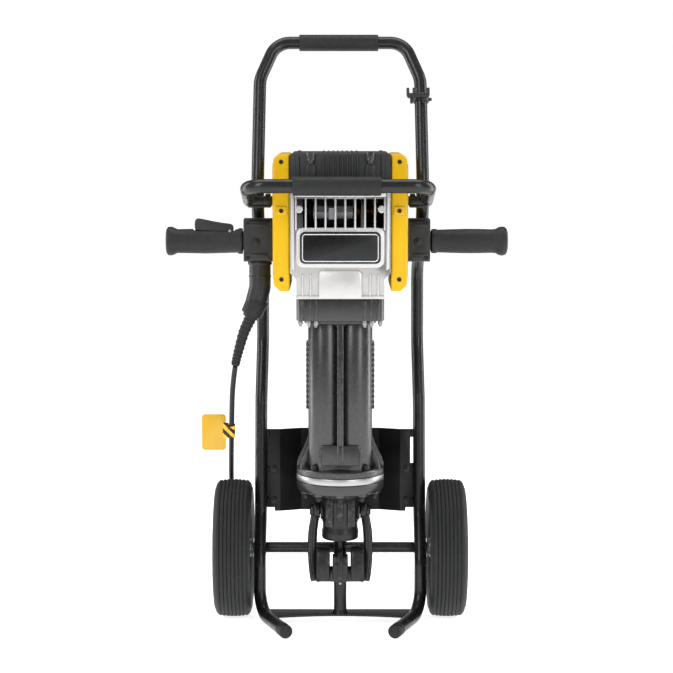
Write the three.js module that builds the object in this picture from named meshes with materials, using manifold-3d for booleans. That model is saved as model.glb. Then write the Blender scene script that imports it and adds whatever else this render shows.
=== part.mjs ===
// An electric pavement breaker standing on its two-wheeled truck.
// Millimetres, +Z up. The breaker's badge faces -Y and its floor is z = 0. Every size below is
// measured from the breaker's own axis (x = 0, y = 0); the last lines centre the whole group.
import * as THREE from "three";
import { mergeVertices } from "three/addons/utils/BufferGeometryUtils.js";
import Module from "manifold-3d";

const wasm = await Module();
wasm.setup();

// ---- Driving dimensions ----------------------------------------------------------------------
const GAP = 0.3; // between pieces that touch
const FOOTPRINT_CENTRE = { x: -6, y: 14.5 };

// Truck
const TUBE_RADIUS = 11.5;
const FOOT_END = [97, -106, 13.3];
const UPRIGHT_CORNERS = [
  [148, 28, 15],
  [148, 28, 112],
  [147.5, 80, 188],
  [146.4, 98, 400],
  [144.8, 150, 500],
  [144.3, 152, 640],
];
const UPRIGHT_BENDS = [45, 40, 40, 60, 60, 50];
const LOOP_CORNERS = [
  [148.7, 38, 745],
  [148.7, 38, 815],
  [146.5, 103, 990],
  [117, 128, 1057],
];
const LOOP_BENDS = [45, 60, 60, 38];
const FRAME_JOINT = 0.45; // share of the leaning stretch that belongs to the upright
const SPIGOT = { radius: 9, length: 28 };
const TOP_GRIP = { radius: 15, from: -75, to: 70 };
const WHEEL = { radius: 127, width: 68, x: 197, y: 66, z: 127 };
const RIM_RADIUS = 82;
const HUB = { radius: 22, inner: -29, outer: 17 };
const AXLE_RADIUS = 10;
const AXLE_END = 221;
const TOE_PLATE = { bottom: 15, top: 20, front: -22, back: 27 };
const PEG = { radius: 11.8, top: 186, foot: 13.5 };
const PANEL = { top: 346, bottom: 191, side: 134.4, front: 88, pan: 102, sheet: 3 };

// Breaker
const HOUSING = { x: 88, neck: 77, front: -95, back: 100, bottom: 606, top: 800, wall: 8 };
const TOP_COVER = { top: 860, wall: 4 };
const SIDE_COVER = { outer: 117, bottom: 619, top: 858, front: -90, back: 100, wall: 5 };
const VENTS = { count: 9, pitch: 17.2, width: 13.5, bottom: 730, top: 781 };
const BADGE = { width: 141, bottom: 668, top: 724, thick: 2.7, corner: 10 };
const COLLAR = { half: 78, bottom: 560 };
const BARREL = { radius: 57.5, flare: 79, bore: 28.4, bottom: 282 };
const NOSE = { radius: 33.5, bottom: 159, bore: 16 };
const FLANGE = { radius: 79, top: 270, bottom: 251, bore: 22 };
const PIVOT_Z = 211;
const RETAINER = { inner: 36, outer: 54, barrelY: -31, barrelZ: 100, barrelRadius: 14.5 };
const HANDLE = { y: -2, z: 701.5, left: 150, right: 138, blockOuter: 22, swing: 20 };
const GRIP = { start: 24.5, end: 161, radius: 22 };
const CARRY = { y: -148, z: 805, radius: 12.5, left: -160.5, right: 152.5 };

// Drive: motor and gears turn about X, the blow runs down Z
const MOTOR_Z = 755;
const CRANK_Z = 648;
const CRANK_THROW = 16;
const ROD_LENGTH = 60;
const GEAR_TEETH = 36;
const PINION_TEETH = 12;
const STAGES = [
  { module: 2.75, from: 57, to: 67 },
  { module: 1.75, from: 44, to: 54 },
];
const BACKLASH = 0.25; // added to each centre distance
const PISTON_RADIUS = 23.8;
const CYLINDER = { bore: 24.4, radius: 27.8, bottom: 335, top: 568 };

// Cord
const CORD_RADIUS = 4.75;
const SLEEVE_END = [-189, 0, 476];
const CORD_ROUTE = [
  [-189.5, 0.1, 474.4],
  [-193, 6, 450],
  [-196.5, 22, 415],
  [-200, 60, 350],
  [-203, 100, 292],
  [-205, 134, 248],
  [-206, 163, 225],
  [-207, 187, 190],
  [-207.5, 201, 151],
  [-208, 204, 110],
  [-209, 205, 60],
  [-210, 209, 24],
  [-211, 222, 9],
  [-212, 238.6, 6],
];
const HANK = { x: -213, half: 33, from: 240, to: 430, top: 47 };
const PLUG = { half: 27, height: 38, from: 306, to: 352, pins: 371 };

const FINISH = {
  blackTube: { color: 0x17181a, roughness: 0.35, metalness: 0.3 },
  blackCasting: { color: 0x25272a, roughness: 0.5, metalness: 0.4 },
  blackPlastic: { color: 0x1d1e20, roughness: 0.55, metalness: 0 },
  rubber: { color: 0x151515, roughness: 0.8, metalness: 0 },
  yellow: { color: 0xf5b81c, roughness: 0.4, metalness: 0 },
  silver: { color: 0xb9bbbd, roughness: 0.4, metalness: 0.8 },
  steel: { color: 0x9a9da1, roughness: 0.3, metalness: 1 },
  copper: { color: 0xa8633a, roughness: 0.4, metalness: 1 },
  tag: { color: 0xf3c32c, roughness: 0.5, metalness: 0 },
};

// ---- Shapes ----------------------------------------------------------------------------------
const v = (x, y, z) => new THREE.Vector3(x, y, z);
const point = (xyz) => new THREE.Vector3(...xyz);
const AXIS_Z = v(0, 0, 1);

function solid(geometry) {
  const bare = geometry.clone();
  bare.deleteAttribute("normal");
  bare.deleteAttribute("uv");
  const merged = mergeVertices(bare, 1e-3);
  const mesh = new wasm.Mesh({
    numProp: 3,
    vertProperties: merged.attributes.position.array,
    triVerts: new Uint32Array(merged.index.array),
  });
  return new wasm.Manifold(mesh);
}

function geometryOf(manifold) {
  const mesh = manifold.getMesh();
  const geometry = new THREE.BufferGeometry();
  const positions = Float32Array.from(mesh.vertProperties);
  geometry.setAttribute("position", new THREE.BufferAttribute(positions, 3));
  geometry.setIndex(new THREE.BufferAttribute(Uint32Array.from(mesh.triVerts), 1));
  return geometry;
}

const join = (...geometries) => geometryOf(geometries.map(solid).reduce((a, b) => a.add(b)));

const cut = (geometry, ...tools) =>
  geometryOf(tools.map(solid).reduce((a, b) => a.subtract(b), solid(geometry)));

function block(x0, x1, y0, y1, z0, z1) {
  const box = new THREE.BoxGeometry(x1 - x0, y1 - y0, z1 - z0);
  return box.translate((x0 + x1) / 2, (y0 + y1) / 2, (z0 + z1) / 2);
}

const outline = (points) => new THREE.Shape(points.map(([a, b]) => new THREE.Vector2(a, b)));

function disc(radius, a = 0, b = 0) {
  return new THREE.Shape().absarc(a, b, radius, 0, 2 * Math.PI, false);
}

function roundedRectangle(a0, a1, b0, b1, r) {
  const shape = new THREE.Shape();
  shape.absarc(a1 - r, b0 + r, r, -Math.PI / 2, 0, false);
  shape.absarc(a1 - r, b1 - r, r, 0, Math.PI / 2, false);
  shape.absarc(a0 + r, b1 - r, r, Math.PI / 2, Math.PI, false);
  shape.absarc(a0 + r, b0 + r, r, Math.PI, 1.5 * Math.PI, false);
  return shape;
}

function extrude(shape, depth, curveSegments = 4) {
  return new THREE.ExtrudeGeometry(shape, { depth, curveSegments, bevelEnabled: false });
}

// Outlines drawn in (x, y), (x, z) and (y, z), drawn out along the axis that is left.
const prismZ = (shape, z0, z1, segments) => extrude(shape, z1 - z0, segments).translate(0, 0, z0);
const prismY = (shape, y0, y1, segments) =>
  extrude(shape, y1 - y0, segments).rotateX(Math.PI / 2).translate(0, y1, 0);
const YZ_TO_XYZ = new THREE.Matrix4().makeBasis(v(0, 1, 0), v(0, 0, 1), v(1, 0, 0));
const prismX = (shape, x0, x1, segments) =>
  extrude(shape, x1 - x0, segments).applyMatrix4(YZ_TO_XYZ).translate(x0, 0, 0);

const rodX = (radius, x0, x1, y = 0, z = 0, sides = 16) =>
  new THREE.CylinderGeometry(radius, radius, x1 - x0, sides)
    .rotateZ(Math.PI / 2)
    .translate((x0 + x1) / 2, y, z);
const rodY = (radius, y0, y1, x = 0, z = 0, sides = 16) =>
  new THREE.CylinderGeometry(radius, radius, y1 - y0, sides).translate(x, (y0 + y1) / 2, z);
const rodZ = (radius, z0, z1, x = 0, y = 0, sides = 16) =>
  new THREE.CylinderGeometry(radius, radius, z1 - z0, sides)
    .rotateX(Math.PI / 2)
    .translate(x, y, (z0 + z1) / 2);

// A round bar from one point to another, thinner or thicker at its far end.
function taper(from, to, r0, r1, sides = 16) {
  const along = to.clone().sub(from);
  const turn = new THREE.Quaternion().setFromUnitVectors(v(0, 1, 0), along.clone().normalize());
  return new THREE.CylinderGeometry(r1, r0, along.length(), sides)
    .applyQuaternion(turn)
    .translate(...from.clone().lerp(to, 0.5));
}

// Profiles hold [radius, height] and either close on themselves or start and end on the axis.
function lathe(profile, sides) {
  const points = profile.map(([r, h]) => new THREE.Vector2(r, h));
  if (THREE.ShapeUtils.area(points) < 0) points.reverse();
  const onAxis = points[0].x === 0 && points.at(-1).x === 0;
  if (!onAxis) points.push(points[0].clone());
  return new THREE.LatheGeometry(points, sides);
}
const latheZ = (profile, sides) => lathe(profile, sides).rotateX(Math.PI / 2);
const latheX = (profile, sides) => lathe(profile, sides).rotateZ(-Math.PI / 2);

// A run of straight lengths joined by round bends.
class BentPath extends THREE.Curve {
  constructor(corners, bends, bendStep = Math.PI / 9) {
    super();
    this.bendStep = bendStep;
    this.stations = [corners[0]];
    this.headings = [corners[1].clone().sub(corners[0]).normalize()];
    for (let i = 1; i < corners.length - 1; i++)
      this.bend(corners[i - 1], corners[i], corners[i + 1], bends[i - 1]);
    this.stations.push(corners.at(-1));
    this.headings.push(corners.at(-1).clone().sub(corners.at(-2)).normalize());
  }

  bend(before, corner, after, radius) {
    const arriving = corner.clone().sub(before).normalize();
    const leaving = after.clone().sub(corner).normalize();
    const angle = arriving.angleTo(leaving);
    const start = corner.clone().addScaledVector(arriving, -radius * Math.tan(angle / 2));
    const side = leaving.addScaledVector(arriving, -arriving.dot(leaving)).normalize();
    const steps = Math.ceil(angle / this.bendStep);
    for (let k = 0; k <= steps; k++) {
      const turned = (angle * k) / steps;
      const station = start.clone().addScaledVector(arriving, radius * Math.sin(turned));
      this.stations.push(station.addScaledVector(side, radius * (1 - Math.cos(turned))));
      const heading = arriving.clone().multiplyScalar(Math.cos(turned));
      this.headings.push(heading.addScaledVector(side, Math.sin(turned)));
    }
  }

  getSpacedPoints() {
    return this.stations.map((station) => station.clone());
  }

  getTangentAt(share, target = new THREE.Vector3()) {
    return target.copy(this.headings[Math.round(share * (this.headings.length - 1))]);
  }
}

function tube(path, radius, sides = 10) {
  const steps = path.stations.length - 1;
  const options = { steps, extrudePath: path, curveSegments: sides / 2 };
  return new THREE.ExtrudeGeometry(disc(radius), options);
}

function piece(name, geometry, finish) {
  const mesh = new THREE.Mesh(geometry, new THREE.MeshStandardMaterial(finish));
  mesh.name = name;
  return mesh;
}

// The same right-hand geometry on either side: side is 1 on the right and -1 on the left.
function onSide(side, mesh) {
  mesh.scale.x = side;
  return mesh;
}
const SIDES = [
  ["left", -1],
  ["right", 1],
];

function group(position, ...children) {
  const made = new THREE.Group();
  made.position.copy(position);
  if (children.length) made.add(...children);
  return made;
}

// ---- Truck -----------------------------------------------------------------------------------
const LEAN_FROM = point(UPRIGHT_CORNERS.at(-1));
const LEAN_TO = point(LOOP_CORNERS[0]);
const LEAN = LEAN_TO.clone().sub(LEAN_FROM).normalize();
const JOINT = LEAN_FROM.clone().lerp(LEAN_TO, FRAME_JOINT);
const alongLean = (distance) => JOINT.clone().addScaledVector(LEAN, distance);

function uprightGeometry() {
  const corners = [point(FOOT_END), ...UPRIGHT_CORNERS.map(point), JOINT];
  const spigot = taper(alongLean(-5), alongLean(SPIGOT.length), SPIGOT.radius, SPIGOT.radius, 12);
  return join(tube(new BentPath(corners, UPRIGHT_BENDS), TUBE_RADIUS), spigot);
}

function handleLoopGeometry() {
  const right = [alongLean(GAP + 0.1), ...LOOP_CORNERS.map(point)];
  const mirrored = (p) => v(-p.x, p.y, p.z);
  const left = right.map(mirrored).reverse();
  const bends = [...LOOP_BENDS, ...LOOP_BENDS.toReversed()];
  const loop = tube(new BentPath([...right, ...left], bends), TUBE_RADIUS);
  const socketRadius = SPIGOT.radius + 0.6;
  const [mouth, end] = [alongLean(-5), alongLean(SPIGOT.length + 1)];
  const sockets = [
    taper(mouth, end, socketRadius, socketRadius, 12),
    taper(mirrored(mouth), mirrored(end), socketRadius, socketRadius, 12),
  ];
  return cut(loop, ...sockets);
}

function topGripGeometry() {
  const { radius, from, to } = TOP_GRIP;
  const bore = TUBE_RADIUS + 0.6;
  const edge = radius - 1.5;
  const profile = [
    [bore, from],
    [edge, from],
    [radius, from + 3],
    [radius, to - 3],
    [edge, to],
    [bore, to],
  ];
  const [, y, z] = LOOP_CORNERS.at(-1);
  return latheX(profile, 16).translate(0, y, z);
}

function footCapGeometry() {
  const profile = [
    [0, -5],
    [10.5, -5],
    [13, -2],
    [13, 20],
    [TUBE_RADIUS + 0.4, 20],
    [TUBE_RADIUS + 0.4, 0],
    [0, -0.4],
  ];
  const inward = point(UPRIGHT_CORNERS[0]).sub(point(FOOT_END)).normalize();
  const turn = new THREE.Quaternion().setFromUnitVectors(AXIS_Z, inward);
  return latheZ(profile, 16).applyQuaternion(turn).translate(...FOOT_END);
}

function tyreGeometry() {
  const half = WHEEL.width / 2;
  const profile = [
    [RIM_RADIUS, -24],
    [88, -half],
    [112, -half],
    [122, -28],
    [WHEEL.radius, -20],
    [WHEEL.radius, 20],
    [122, 28],
    [112, half],
    [88, half],
    [RIM_RADIUS, 24],
  ];
  return latheX(profile, 32);
}

function rimGeometry() {
  const bore = AXLE_RADIUS + 0.4;
  const seat = RIM_RADIUS - 0.4;
  const profile = [
    [bore, HUB.inner],
    [HUB.radius, HUB.inner],
    [HUB.radius, -5],
    [68, -5],
    [70, -22],
    [seat, -22],
    [seat, 22],
    [70, 22],
    [68, 5],
    [HUB.radius, 5],
    [HUB.radius, HUB.outer],
    [bore, HUB.outer],
  ];
  return latheX(profile, 32);
}

function wheelSpacerGeometry() {
  const hubFace = WHEEL.x + HUB.inner - GAP;
  return cut(rodX(17, 160.3, hubFace), rodX(AXLE_RADIUS + 0.4, 150, hubFace + 5));
}

function axleNutGeometry() {
  const seat = WHEEL.x + HUB.outer + GAP;
  return cut(rodX(15, seat, AXLE_END + 4, 0, 0, 6), rodX(AXLE_RADIUS + 0.4, seat - 5, AXLE_END + 0.4));
}

function toePlateGeometry() {
  const { bottom, top, front, back } = TOE_PLATE;
  const shape = new THREE.Shape();
  shape.moveTo(-116.2, front);
  shape.quadraticCurveTo(0, front + 28, 116.2, front);
  shape.lineTo(134.3, back);
  shape.lineTo(-134.3, back);
  return prismZ(shape, bottom, top, 10);
}

function toolPegGeometry() {
  const foot = TOE_PLATE.top + GAP;
  const profile = [
    [0, foot],
    [PEG.foot, foot],
    [PEG.foot, foot + 7],
    [PEG.radius, foot + 9],
    [PEG.radius, PEG.top - 6],
    [PEG.radius - 4, PEG.top],
    [0, PEG.top],
  ];
  return latheZ(profile, 16);
}

function backPanelGeometry() {
  const { side, front, pan, sheet } = PANEL;
  const face = [
    [-side, front],
    [-112, front],
    [-73, pan],
    [73, pan],
    [112, front],
    [side, front],
  ];
  const rear = face.map(([x, y]) => [x, y + sheet]).reverse();
  const sheetMetal = prismZ(outline([...face, ...rear]), PANEL.bottom, PANEL.top);
  const slot = block(130.5, 140, 80, 120, 282, 331);
  const corners = SIDES.map(([, way]) => {
    const [from, to] = way < 0 ? [-140, -122] : [122, 140];
    return block(from, to, 80, 120, PANEL.bottom - 5, PANEL.bottom + 7);
  });
  return cut(sheetMetal, slot, ...corners);
}

// A clamp band on the right-hand tube with a cross bar, three horns up and two legs down.
function cordHook() {
  const [below, above] = [point(LOOP_CORNERS[1]), point(LOOP_CORNERS[2])];
  const band = disc(15);
  band.holes.push(disc(TUBE_RADIUS + 0.5));
  const solids = [prismZ(band, -7, 7, 8), block(-26, 15, -20, -14, -4, 4)];
  for (const x of [-26, -15, 11]) solids.push(block(x, x + 4, -20, -14, 3, 14));
  for (const x of [-20, 2]) solids.push(block(x, x + 4, -20, -14, -15, -3));
  const hook = piece("cord_hook", join(...solids), FINISH.blackPlastic);
  hook.position.copy(below.clone().lerp(above, 0.8));
  hook.quaternion.setFromUnitVectors(AXIS_Z, above.sub(below).normalize());
  return hook;
}

function wheel(name, side) {
  return group(
    v(side * WHEEL.x, WHEEL.y, WHEEL.z),
    onSide(side, piece(`tyre_${name}`, tyreGeometry(), FINISH.rubber)),
    onSide(side, piece(`rim_${name}`, rimGeometry(), FINISH.steel)),
  );
}

function truck() {
  const axleLine = group(v(0, WHEEL.y, WHEEL.z));
  axleLine.add(piece("axle", rodX(AXLE_RADIUS, -AXLE_END, AXLE_END), FINISH.blackTube));
  const made = group(
    v(0, 0, 0),
    axleLine,
    piece("handle_loop", handleLoopGeometry(), FINISH.blackTube),
    piece("top_grip", topGripGeometry(), FINISH.rubber),
    piece("back_panel", backPanelGeometry(), FINISH.blackTube),
    piece("toe_plate", toePlateGeometry(), FINISH.blackTube),
    piece("tool_peg", toolPegGeometry(), FINISH.blackTube),
    cordHook(),
  );
  for (const [name, side] of SIDES) {
    made.add(onSide(side, piece(`upright_${name}`, uprightGeometry(), FINISH.blackTube)));
    made.add(onSide(side, piece(`foot_cap_${name}`, footCapGeometry(), FINISH.rubber)));
    axleLine.add(onSide(side, piece(`wheel_spacer_${name}`, wheelSpacerGeometry(), FINISH.steel)));
    axleLine.add(onSide(side, piece(`axle_nut_${name}`, axleNutGeometry(), FINISH.steel)));
    made.add(wheel(name, side));
  }
  return made;
}

// ---- Breaker casings -------------------------------------------------------------------------
const BEARING = { outer: 16, bore: 6.5, left: [-75, -67], right: [36, 42] };

// Gear centres in (y, z): the layshaft stands off the line from motor to crank by what is left over.
const centreDistance = (module) => (module * (GEAR_TEETH + PINION_TEETH)) / 2 + BACKLASH;
const [FIRST_REACH, SECOND_REACH] = STAGES.map((stage) => centreDistance(stage.module));
const DROP = MOTOR_Z - CRANK_Z;
const LAY_DROP = (FIRST_REACH ** 2 - SECOND_REACH ** 2 + DROP ** 2) / (2 * DROP);
const LAYSHAFT = { y: Math.sqrt(FIRST_REACH ** 2 - LAY_DROP ** 2), z: MOTOR_Z - LAY_DROP };

function motorHousingGeometry() {
  const { x, neck, front, back, bottom, top, wall } = HOUSING;
  const side = (half, inset, low, high) => [
    [-half, high],
    [-half, 652 + inset],
    [-neck + inset, 640 + inset],
    [-neck + inset, low],
    [neck - inset, low],
    [neck - inset, 640 + inset],
    [half, 652 + inset],
    [half, high],
  ];
  const shell = cut(
    prismY(outline(side(x, 0, bottom, top)), front, back),
    prismY(outline(side(x - wall, wall, bottom + wall, top + 10)), front + wall, back - wall),
    block(-30, 30, -30, 30, bottom - 5, bottom + wall + 5),
  );
  const webs = [
    block(-77, -66, front + 5, back - 5, 700, top - 4),
    block(BEARING.right[0], BEARING.right[1], front + 5, back - 5, bottom + 3, top - 4),
  ];
  const seats = [
    rodX(BEARING.outer + 0.5, -90, -60, 0, MOTOR_Z, 24),
    rodX(BEARING.outer + 0.5, 30, 50, 0, MOTOR_Z, 24),
    rodX(6.6, 30, 50, LAYSHAFT.y, LAYSHAFT.z),
    rodX(8.6, 30, 50, 0, CRANK_Z),
  ];
  const slots = [];
  for (let i = 0; i < VENTS.count; i++) {
    const middle = (i - (VENTS.count - 1) / 2) * VENTS.pitch;
    const half = VENTS.width / 2;
    slots.push(block(middle - half, middle + half, front - 5, front + wall + 1, VENTS.bottom, VENTS.top));
  }
  return cut(join(shell, ...webs), ...seats, ...slots);
}

function topCoverGeometry() {
  const half = HOUSING.x - GAP;
  const base = HOUSING.top + GAP;
  const roof = (inset, low) =>
    outline([
      [-half + inset, low],
      [half - inset, low],
      [half - inset, TOP_COVER.top - 4 - inset / 2],
      [half - 4 - inset / 2, TOP_COVER.top - inset],
      [-half + 4 + inset / 2, TOP_COVER.top - inset],
      [-half + inset, TOP_COVER.top - 4 - inset / 2],
    ]);
  const { wall } = TOP_COVER;
  return cut(
    prismY(roof(0, base), HOUSING.front, HOUSING.back),
    prismY(roof(wall, base - 10), HOUSING.front + wall, HOUSING.back - wall),
  );
}

function sideCoverGeometry() {
  const { outer, bottom, top, front, back, wall } = SIDE_COVER;
  const inner = HOUSING.x + GAP;
  const face = (inset, x0) =>
    outline([
      [x0, bottom + inset],
      [outer - 10 - inset / 2, bottom + inset],
      [outer - inset, bottom + 13 + inset / 2],
      [outer - inset, top - 12 - inset / 2],
      [outer - 12 - inset / 2, top - inset],
      [x0, top - inset],
    ]);
  return cut(
    prismY(face(0, inner), front, back),
    prismY(face(wall, inner - 5), front + wall, back - wall),
  );
}

function badgePlateGeometry() {
  const { width, bottom, top, thick, corner } = BADGE;
  const shape = roundedRectangle(-width / 2, width / 2, bottom, top, corner);
  const back = HOUSING.front - GAP;
  return prismY(shape, back - thick, back, 4);
}

function barrelHousingGeometry() {
  const top = HOUSING.bottom - GAP;
  const collar = roundedRectangle(-COLLAR.half, COLLAR.half, -COLLAR.half, COLLAR.half, 22);
  const profile = [
    [0, BARREL.bottom + GAP],
    [BARREL.flare, BARREL.bottom + GAP],
    [BARREL.flare, 302],
    [BARREL.radius + 3, 345],
    [BARREL.radius, 375],
    [BARREL.radius, COLLAR.bottom + 5],
    [0, COLLAR.bottom + 5],
  ];
  const body = join(latheZ(profile, 28), prismZ(collar, COLLAR.bottom, top, 4));
  return cut(body, rodZ(BARREL.bore, BARREL.bottom - 5, top + 5, 0, 0, 24));
}

function ringGeometry(outer, bore, bottom, top, sides = 28) {
  const profile = [
    [bore, bottom],
    [outer, bottom],
    [outer, top],
    [bore, top],
  ];
  return latheZ(profile, sides);
}

function noseFlangeGeometry() {
  const { radius, bore, bottom, top } = FLANGE;
  const solids = [ringGeometry(radius, bore, bottom, top - GAP)];
  const bolts = 8;
  for (let i = 0; i < bolts; i++) {
    const angle = ((i + 0.5) * 2 * Math.PI) / bolts;
    const [x, y] = [62 * Math.cos(angle), 62 * Math.sin(angle)];
    solids.push(rodZ(8, bottom - 14, bottom + 3, x, y, 6));
  }
  return join(...solids);
}

function noseHousingGeometry() {
  const top = FLANGE.bottom - GAP;
  const profile = [
    [0, NOSE.bottom],
    [NOSE.radius - 4, NOSE.bottom],
    [NOSE.radius, NOSE.bottom + 5],
    [NOSE.radius, 232],
    [42, 240],
    [42, top],
    [0, top],
  ];
  const body = latheZ(profile, 24);
  const trunnions = rodX(7, -53, 53, 0, PIVOT_Z);
  return cut(join(body, trunnions), rodZ(NOSE.bore, NOSE.bottom - 5, top + 5, 0, 0, 12));
}

// ---- Handles ---------------------------------------------------------------------------------
// Each handle is drawn outwards along +x from its hinge pin.
function handleBlockGeometry(inner) {
  const half = { y: 26, bottom: 35.5, top: 40.5 };
  const body = prismX(roundedRectangle(-half.y, half.y, -half.bottom, half.top, 8), inner, HANDLE.blockOuter, 3);
  const pocket = block(-14, HANDLE.blockOuter + 5, -15, 15, -HANDLE.swing, HANDLE.swing);
  return cut(body, pocket, rodY(5.5, -30, 30));
}

function gripGeometry() {
  const { start, end, radius } = GRIP;
  const profile = [
    [0, start],
    [radius + 1, start],
    [radius + 1.5, start + 6],
    [radius - 1, start + 10],
    [radius + 0.5, 90],
    [radius - 0.5, end - 20],
    [26, end - 10],
    [25.5, end - 3],
    [radius - 1, end],
    [0, end],
  ];
  const stub = block(-9, start + 5, -13, 13, -13, 13);
  return cut(join(latheX(profile, 20), stub), rodY(5.5, -20, 20));
}

const TRIGGER = { pivot: [47, 19], slot: [38, 113], half: 9.5, floor: 3 };

function triggerGripGeometry() {
  const [from, to] = TRIGGER.slot;
  const half = TRIGGER.half + 1;
  return cut(
    gripGeometry(),
    block(from, to, -half, half, TRIGGER.floor, 60),
    block(50, 100, -8.5, 8.5, -12, TRIGGER.floor + 2),
    rodY(2.9, -17, 17, ...TRIGGER.pivot, 12),
  );
}

function triggerGeometry() {
  const paddle = [
    [41, 14],
    [60, 14],
    [109, 20],
    [109, 37],
    [104, 40.5],
    [60, 32.5],
    [41, 29.5],
  ];
  const body = prismY(outline(paddle), -TRIGGER.half, TRIGGER.half);
  return cut(body, rodY(2.9, -20, 20, ...TRIGGER.pivot, 12));
}

function handle(name, side) {
  const blockInner = SIDE_COVER.outer + 0.4 - HANDLE[name];
  const made = group(
    v(side * HANDLE[name], HANDLE.y, HANDLE.z),
    piece(`handle_block_${name}`, handleBlockGeometry(blockInner), FINISH.blackPlastic),
    piece(`handle_pin_${name}`, rodY(5, -25.5, 25.5), FINISH.steel),
  );
  made.scale.x = side;
  if (name === "right") {
    made.add(piece("grip_right", gripGeometry(), FINISH.rubber));
    return made;
  }
  made.add(
    piece("grip_left", triggerGripGeometry(), FINISH.rubber),
    piece("trigger", triggerGeometry(), FINISH.blackPlastic),
    piece("trigger_pin", rodY(2.5, -15, 15, ...TRIGGER.pivot, 12), FINISH.steel),
    piece("switch_block", block(50.4, 99.6, -8.1, 8.1, -11.6, 2.4), FINISH.blackPlastic),
  );
  return made;
}

function carryBarGeometry() {
  const corners = [
    v(CARRY.left, -20, 775),
    v(CARRY.left, CARRY.y, CARRY.z),
    v(CARRY.right, CARRY.y, CARRY.z),
    v(CARRY.right, -20, 775),
  ];
  const path = new BentPath(corners, [30, 30]);
  const lugTip = SIDE_COVER.outer + 1;
  return join(
    tube(path, CARRY.radius, 12),
    block(CARRY.left - 4, -lugTip, -48, -12, 768, 782),
    block(lugTip, CARRY.right + 4, -48, -12, 768, 782),
  );
}

function carryGripGeometry() {
  const profile = [
    [CARRY.radius + 0.5, -82],
    [15, -82],
    [16.5, -79],
    [16.5, 67],
    [15, 70],
    [CARRY.radius + 0.5, 70],
  ];
  return latheX(profile, 16).translate(0, CARRY.y, CARRY.z);
}

function retainerGeometry() {
  const { inner, outer, barrelY, barrelZ, barrelRadius } = RETAINER;
  const arm = outline([
    [-12, PIVOT_Z + 10],
    [0, PIVOT_Z + 15],
    [12, PIVOT_Z + 10],
    [15, PIVOT_Z - 4],
    [8, 140],
    [-14, 88],
    [-34, 86],
    [-42, 100],
    [-34, 118],
    [-16, 150],
    [-15, PIVOT_Z - 6],
  ]);
  const solids = [
    rodX(barrelRadius, -inner - 6, inner + 6, barrelY, barrelZ),
    block(-6, 6, -48, -18, 88, 134),
    block(-12, 12, -47, -19, 92, 118),
    prismX(arm, -outer, -inner),
    prismX(arm, inner, outer),
  ];
  return cut(join(...solids), rodX(7.6, -60, 60, 0, PIVOT_Z));
}

// ---- Drive -----------------------------------------------------------------------------------
// A gear in the (y, z) plane with a tooth towards the given direction.
function gearShape(teeth, module, towards, y, z) {
  const root = module * (teeth / 2 - 1.25);
  const tip = module * (teeth / 2 + 0.75);
  const pitch = (2 * Math.PI) / teeth;
  const points = [];
  for (let i = 0; i < teeth; i++) {
    const middle = towards + i * pitch;
    for (const [radius, offset] of [
      [root, -0.24],
      [tip, -0.09],
      [tip, 0.09],
      [root, 0.24],
    ]) {
      const angle = middle + offset * pitch;
      points.push([y + radius * Math.cos(angle), z + radius * Math.sin(angle)]);
    }
  }
  return outline(points);
}

const HALF_PITCH = Math.PI / GEAR_TEETH;
const FIRST_MESH = Math.atan2(LAYSHAFT.z - MOTOR_Z, LAYSHAFT.y);
const SECOND_MESH = Math.atan2(CRANK_Z - LAYSHAFT.z, -LAYSHAFT.y);

function armatureGeometry() {
  const [stage] = STAGES;
  const pinion = gearShape(PINION_TEETH, stage.module, FIRST_MESH, 0, MOTOR_Z);
  return join(
    rodX(6, -74, stage.to + 1, 0, MOTOR_Z),
    rodX(26.5, -46, 20, 0, MOTOR_Z, 20),
    rodX(14, 24, 34, 0, MOTOR_Z, 20),
    prismX(pinion, stage.from, stage.to),
  );
}

function fanGeometry() {
  const blades = 8;
  const solids = [rodX(12, -62, -52, 0, 0, 16), rodX(37, -54, -52, 0, 0, 20)];
  for (let i = 0; i < blades; i++) {
    const blade = block(-62, -53, 10, 36, -1.2, 1.2);
    solids.push(blade.rotateX((i * 2 * Math.PI) / blades));
  }
  return cut(join(...solids), rodX(6.5, -70, -40)).translate(0, 0, MOTOR_Z);
}

function stator() {
  const length = [-48, 22];
  const carriers = [block(-20, -6, -86.6, -35, 745, 765), block(-20, -6, 35, 91.6, 745, 765)];
  const laminations = rodX(42, ...length, 0, MOTOR_Z, 24);
  return cut(join(laminations, ...carriers), rodX(28, -60, 30, 0, MOTOR_Z, 24));
}

function motorBearing([from, to]) {
  const { outer, bore } = BEARING;
  return cut(rodX(outer, from, to, 0, MOTOR_Z, 24), rodX(bore, from - 5, to + 5, 0, MOTOR_Z));
}

function layshaftGeometry() {
  const [first, second] = STAGES;
  const { y, z } = LAYSHAFT;
  const gear = gearShape(GEAR_TEETH, first.module, FIRST_MESH + Math.PI + HALF_PITCH, y, z);
  const pinion = gearShape(PINION_TEETH, second.module, SECOND_MESH, y, z);
  return join(
    rodX(6, BEARING.right[0] + 1, first.to + 6, y, z),
    prismX(gear, first.from, first.to),
    prismX(pinion, second.from, second.to),
  );
}

function crankGeometry() {
  const stage = STAGES[1];
  const gear = gearShape(GEAR_TEETH, stage.module, SECOND_MESH + Math.PI + HALF_PITCH, 0, CRANK_Z);
  return join(
    rodX(28, 8.5, 18.5, 0, CRANK_Z, 24),
    rodX(6, -7.5, 9.5, 0, CRANK_Z - CRANK_THROW),
    rodX(8, 18, stage.to + 1.5, 0, CRANK_Z),
    prismX(gear, stage.from, stage.to),
  );
}

const BIG_END_Z = CRANK_Z - CRANK_THROW;
const SMALL_END_Z = BIG_END_Z - ROD_LENGTH;

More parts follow.
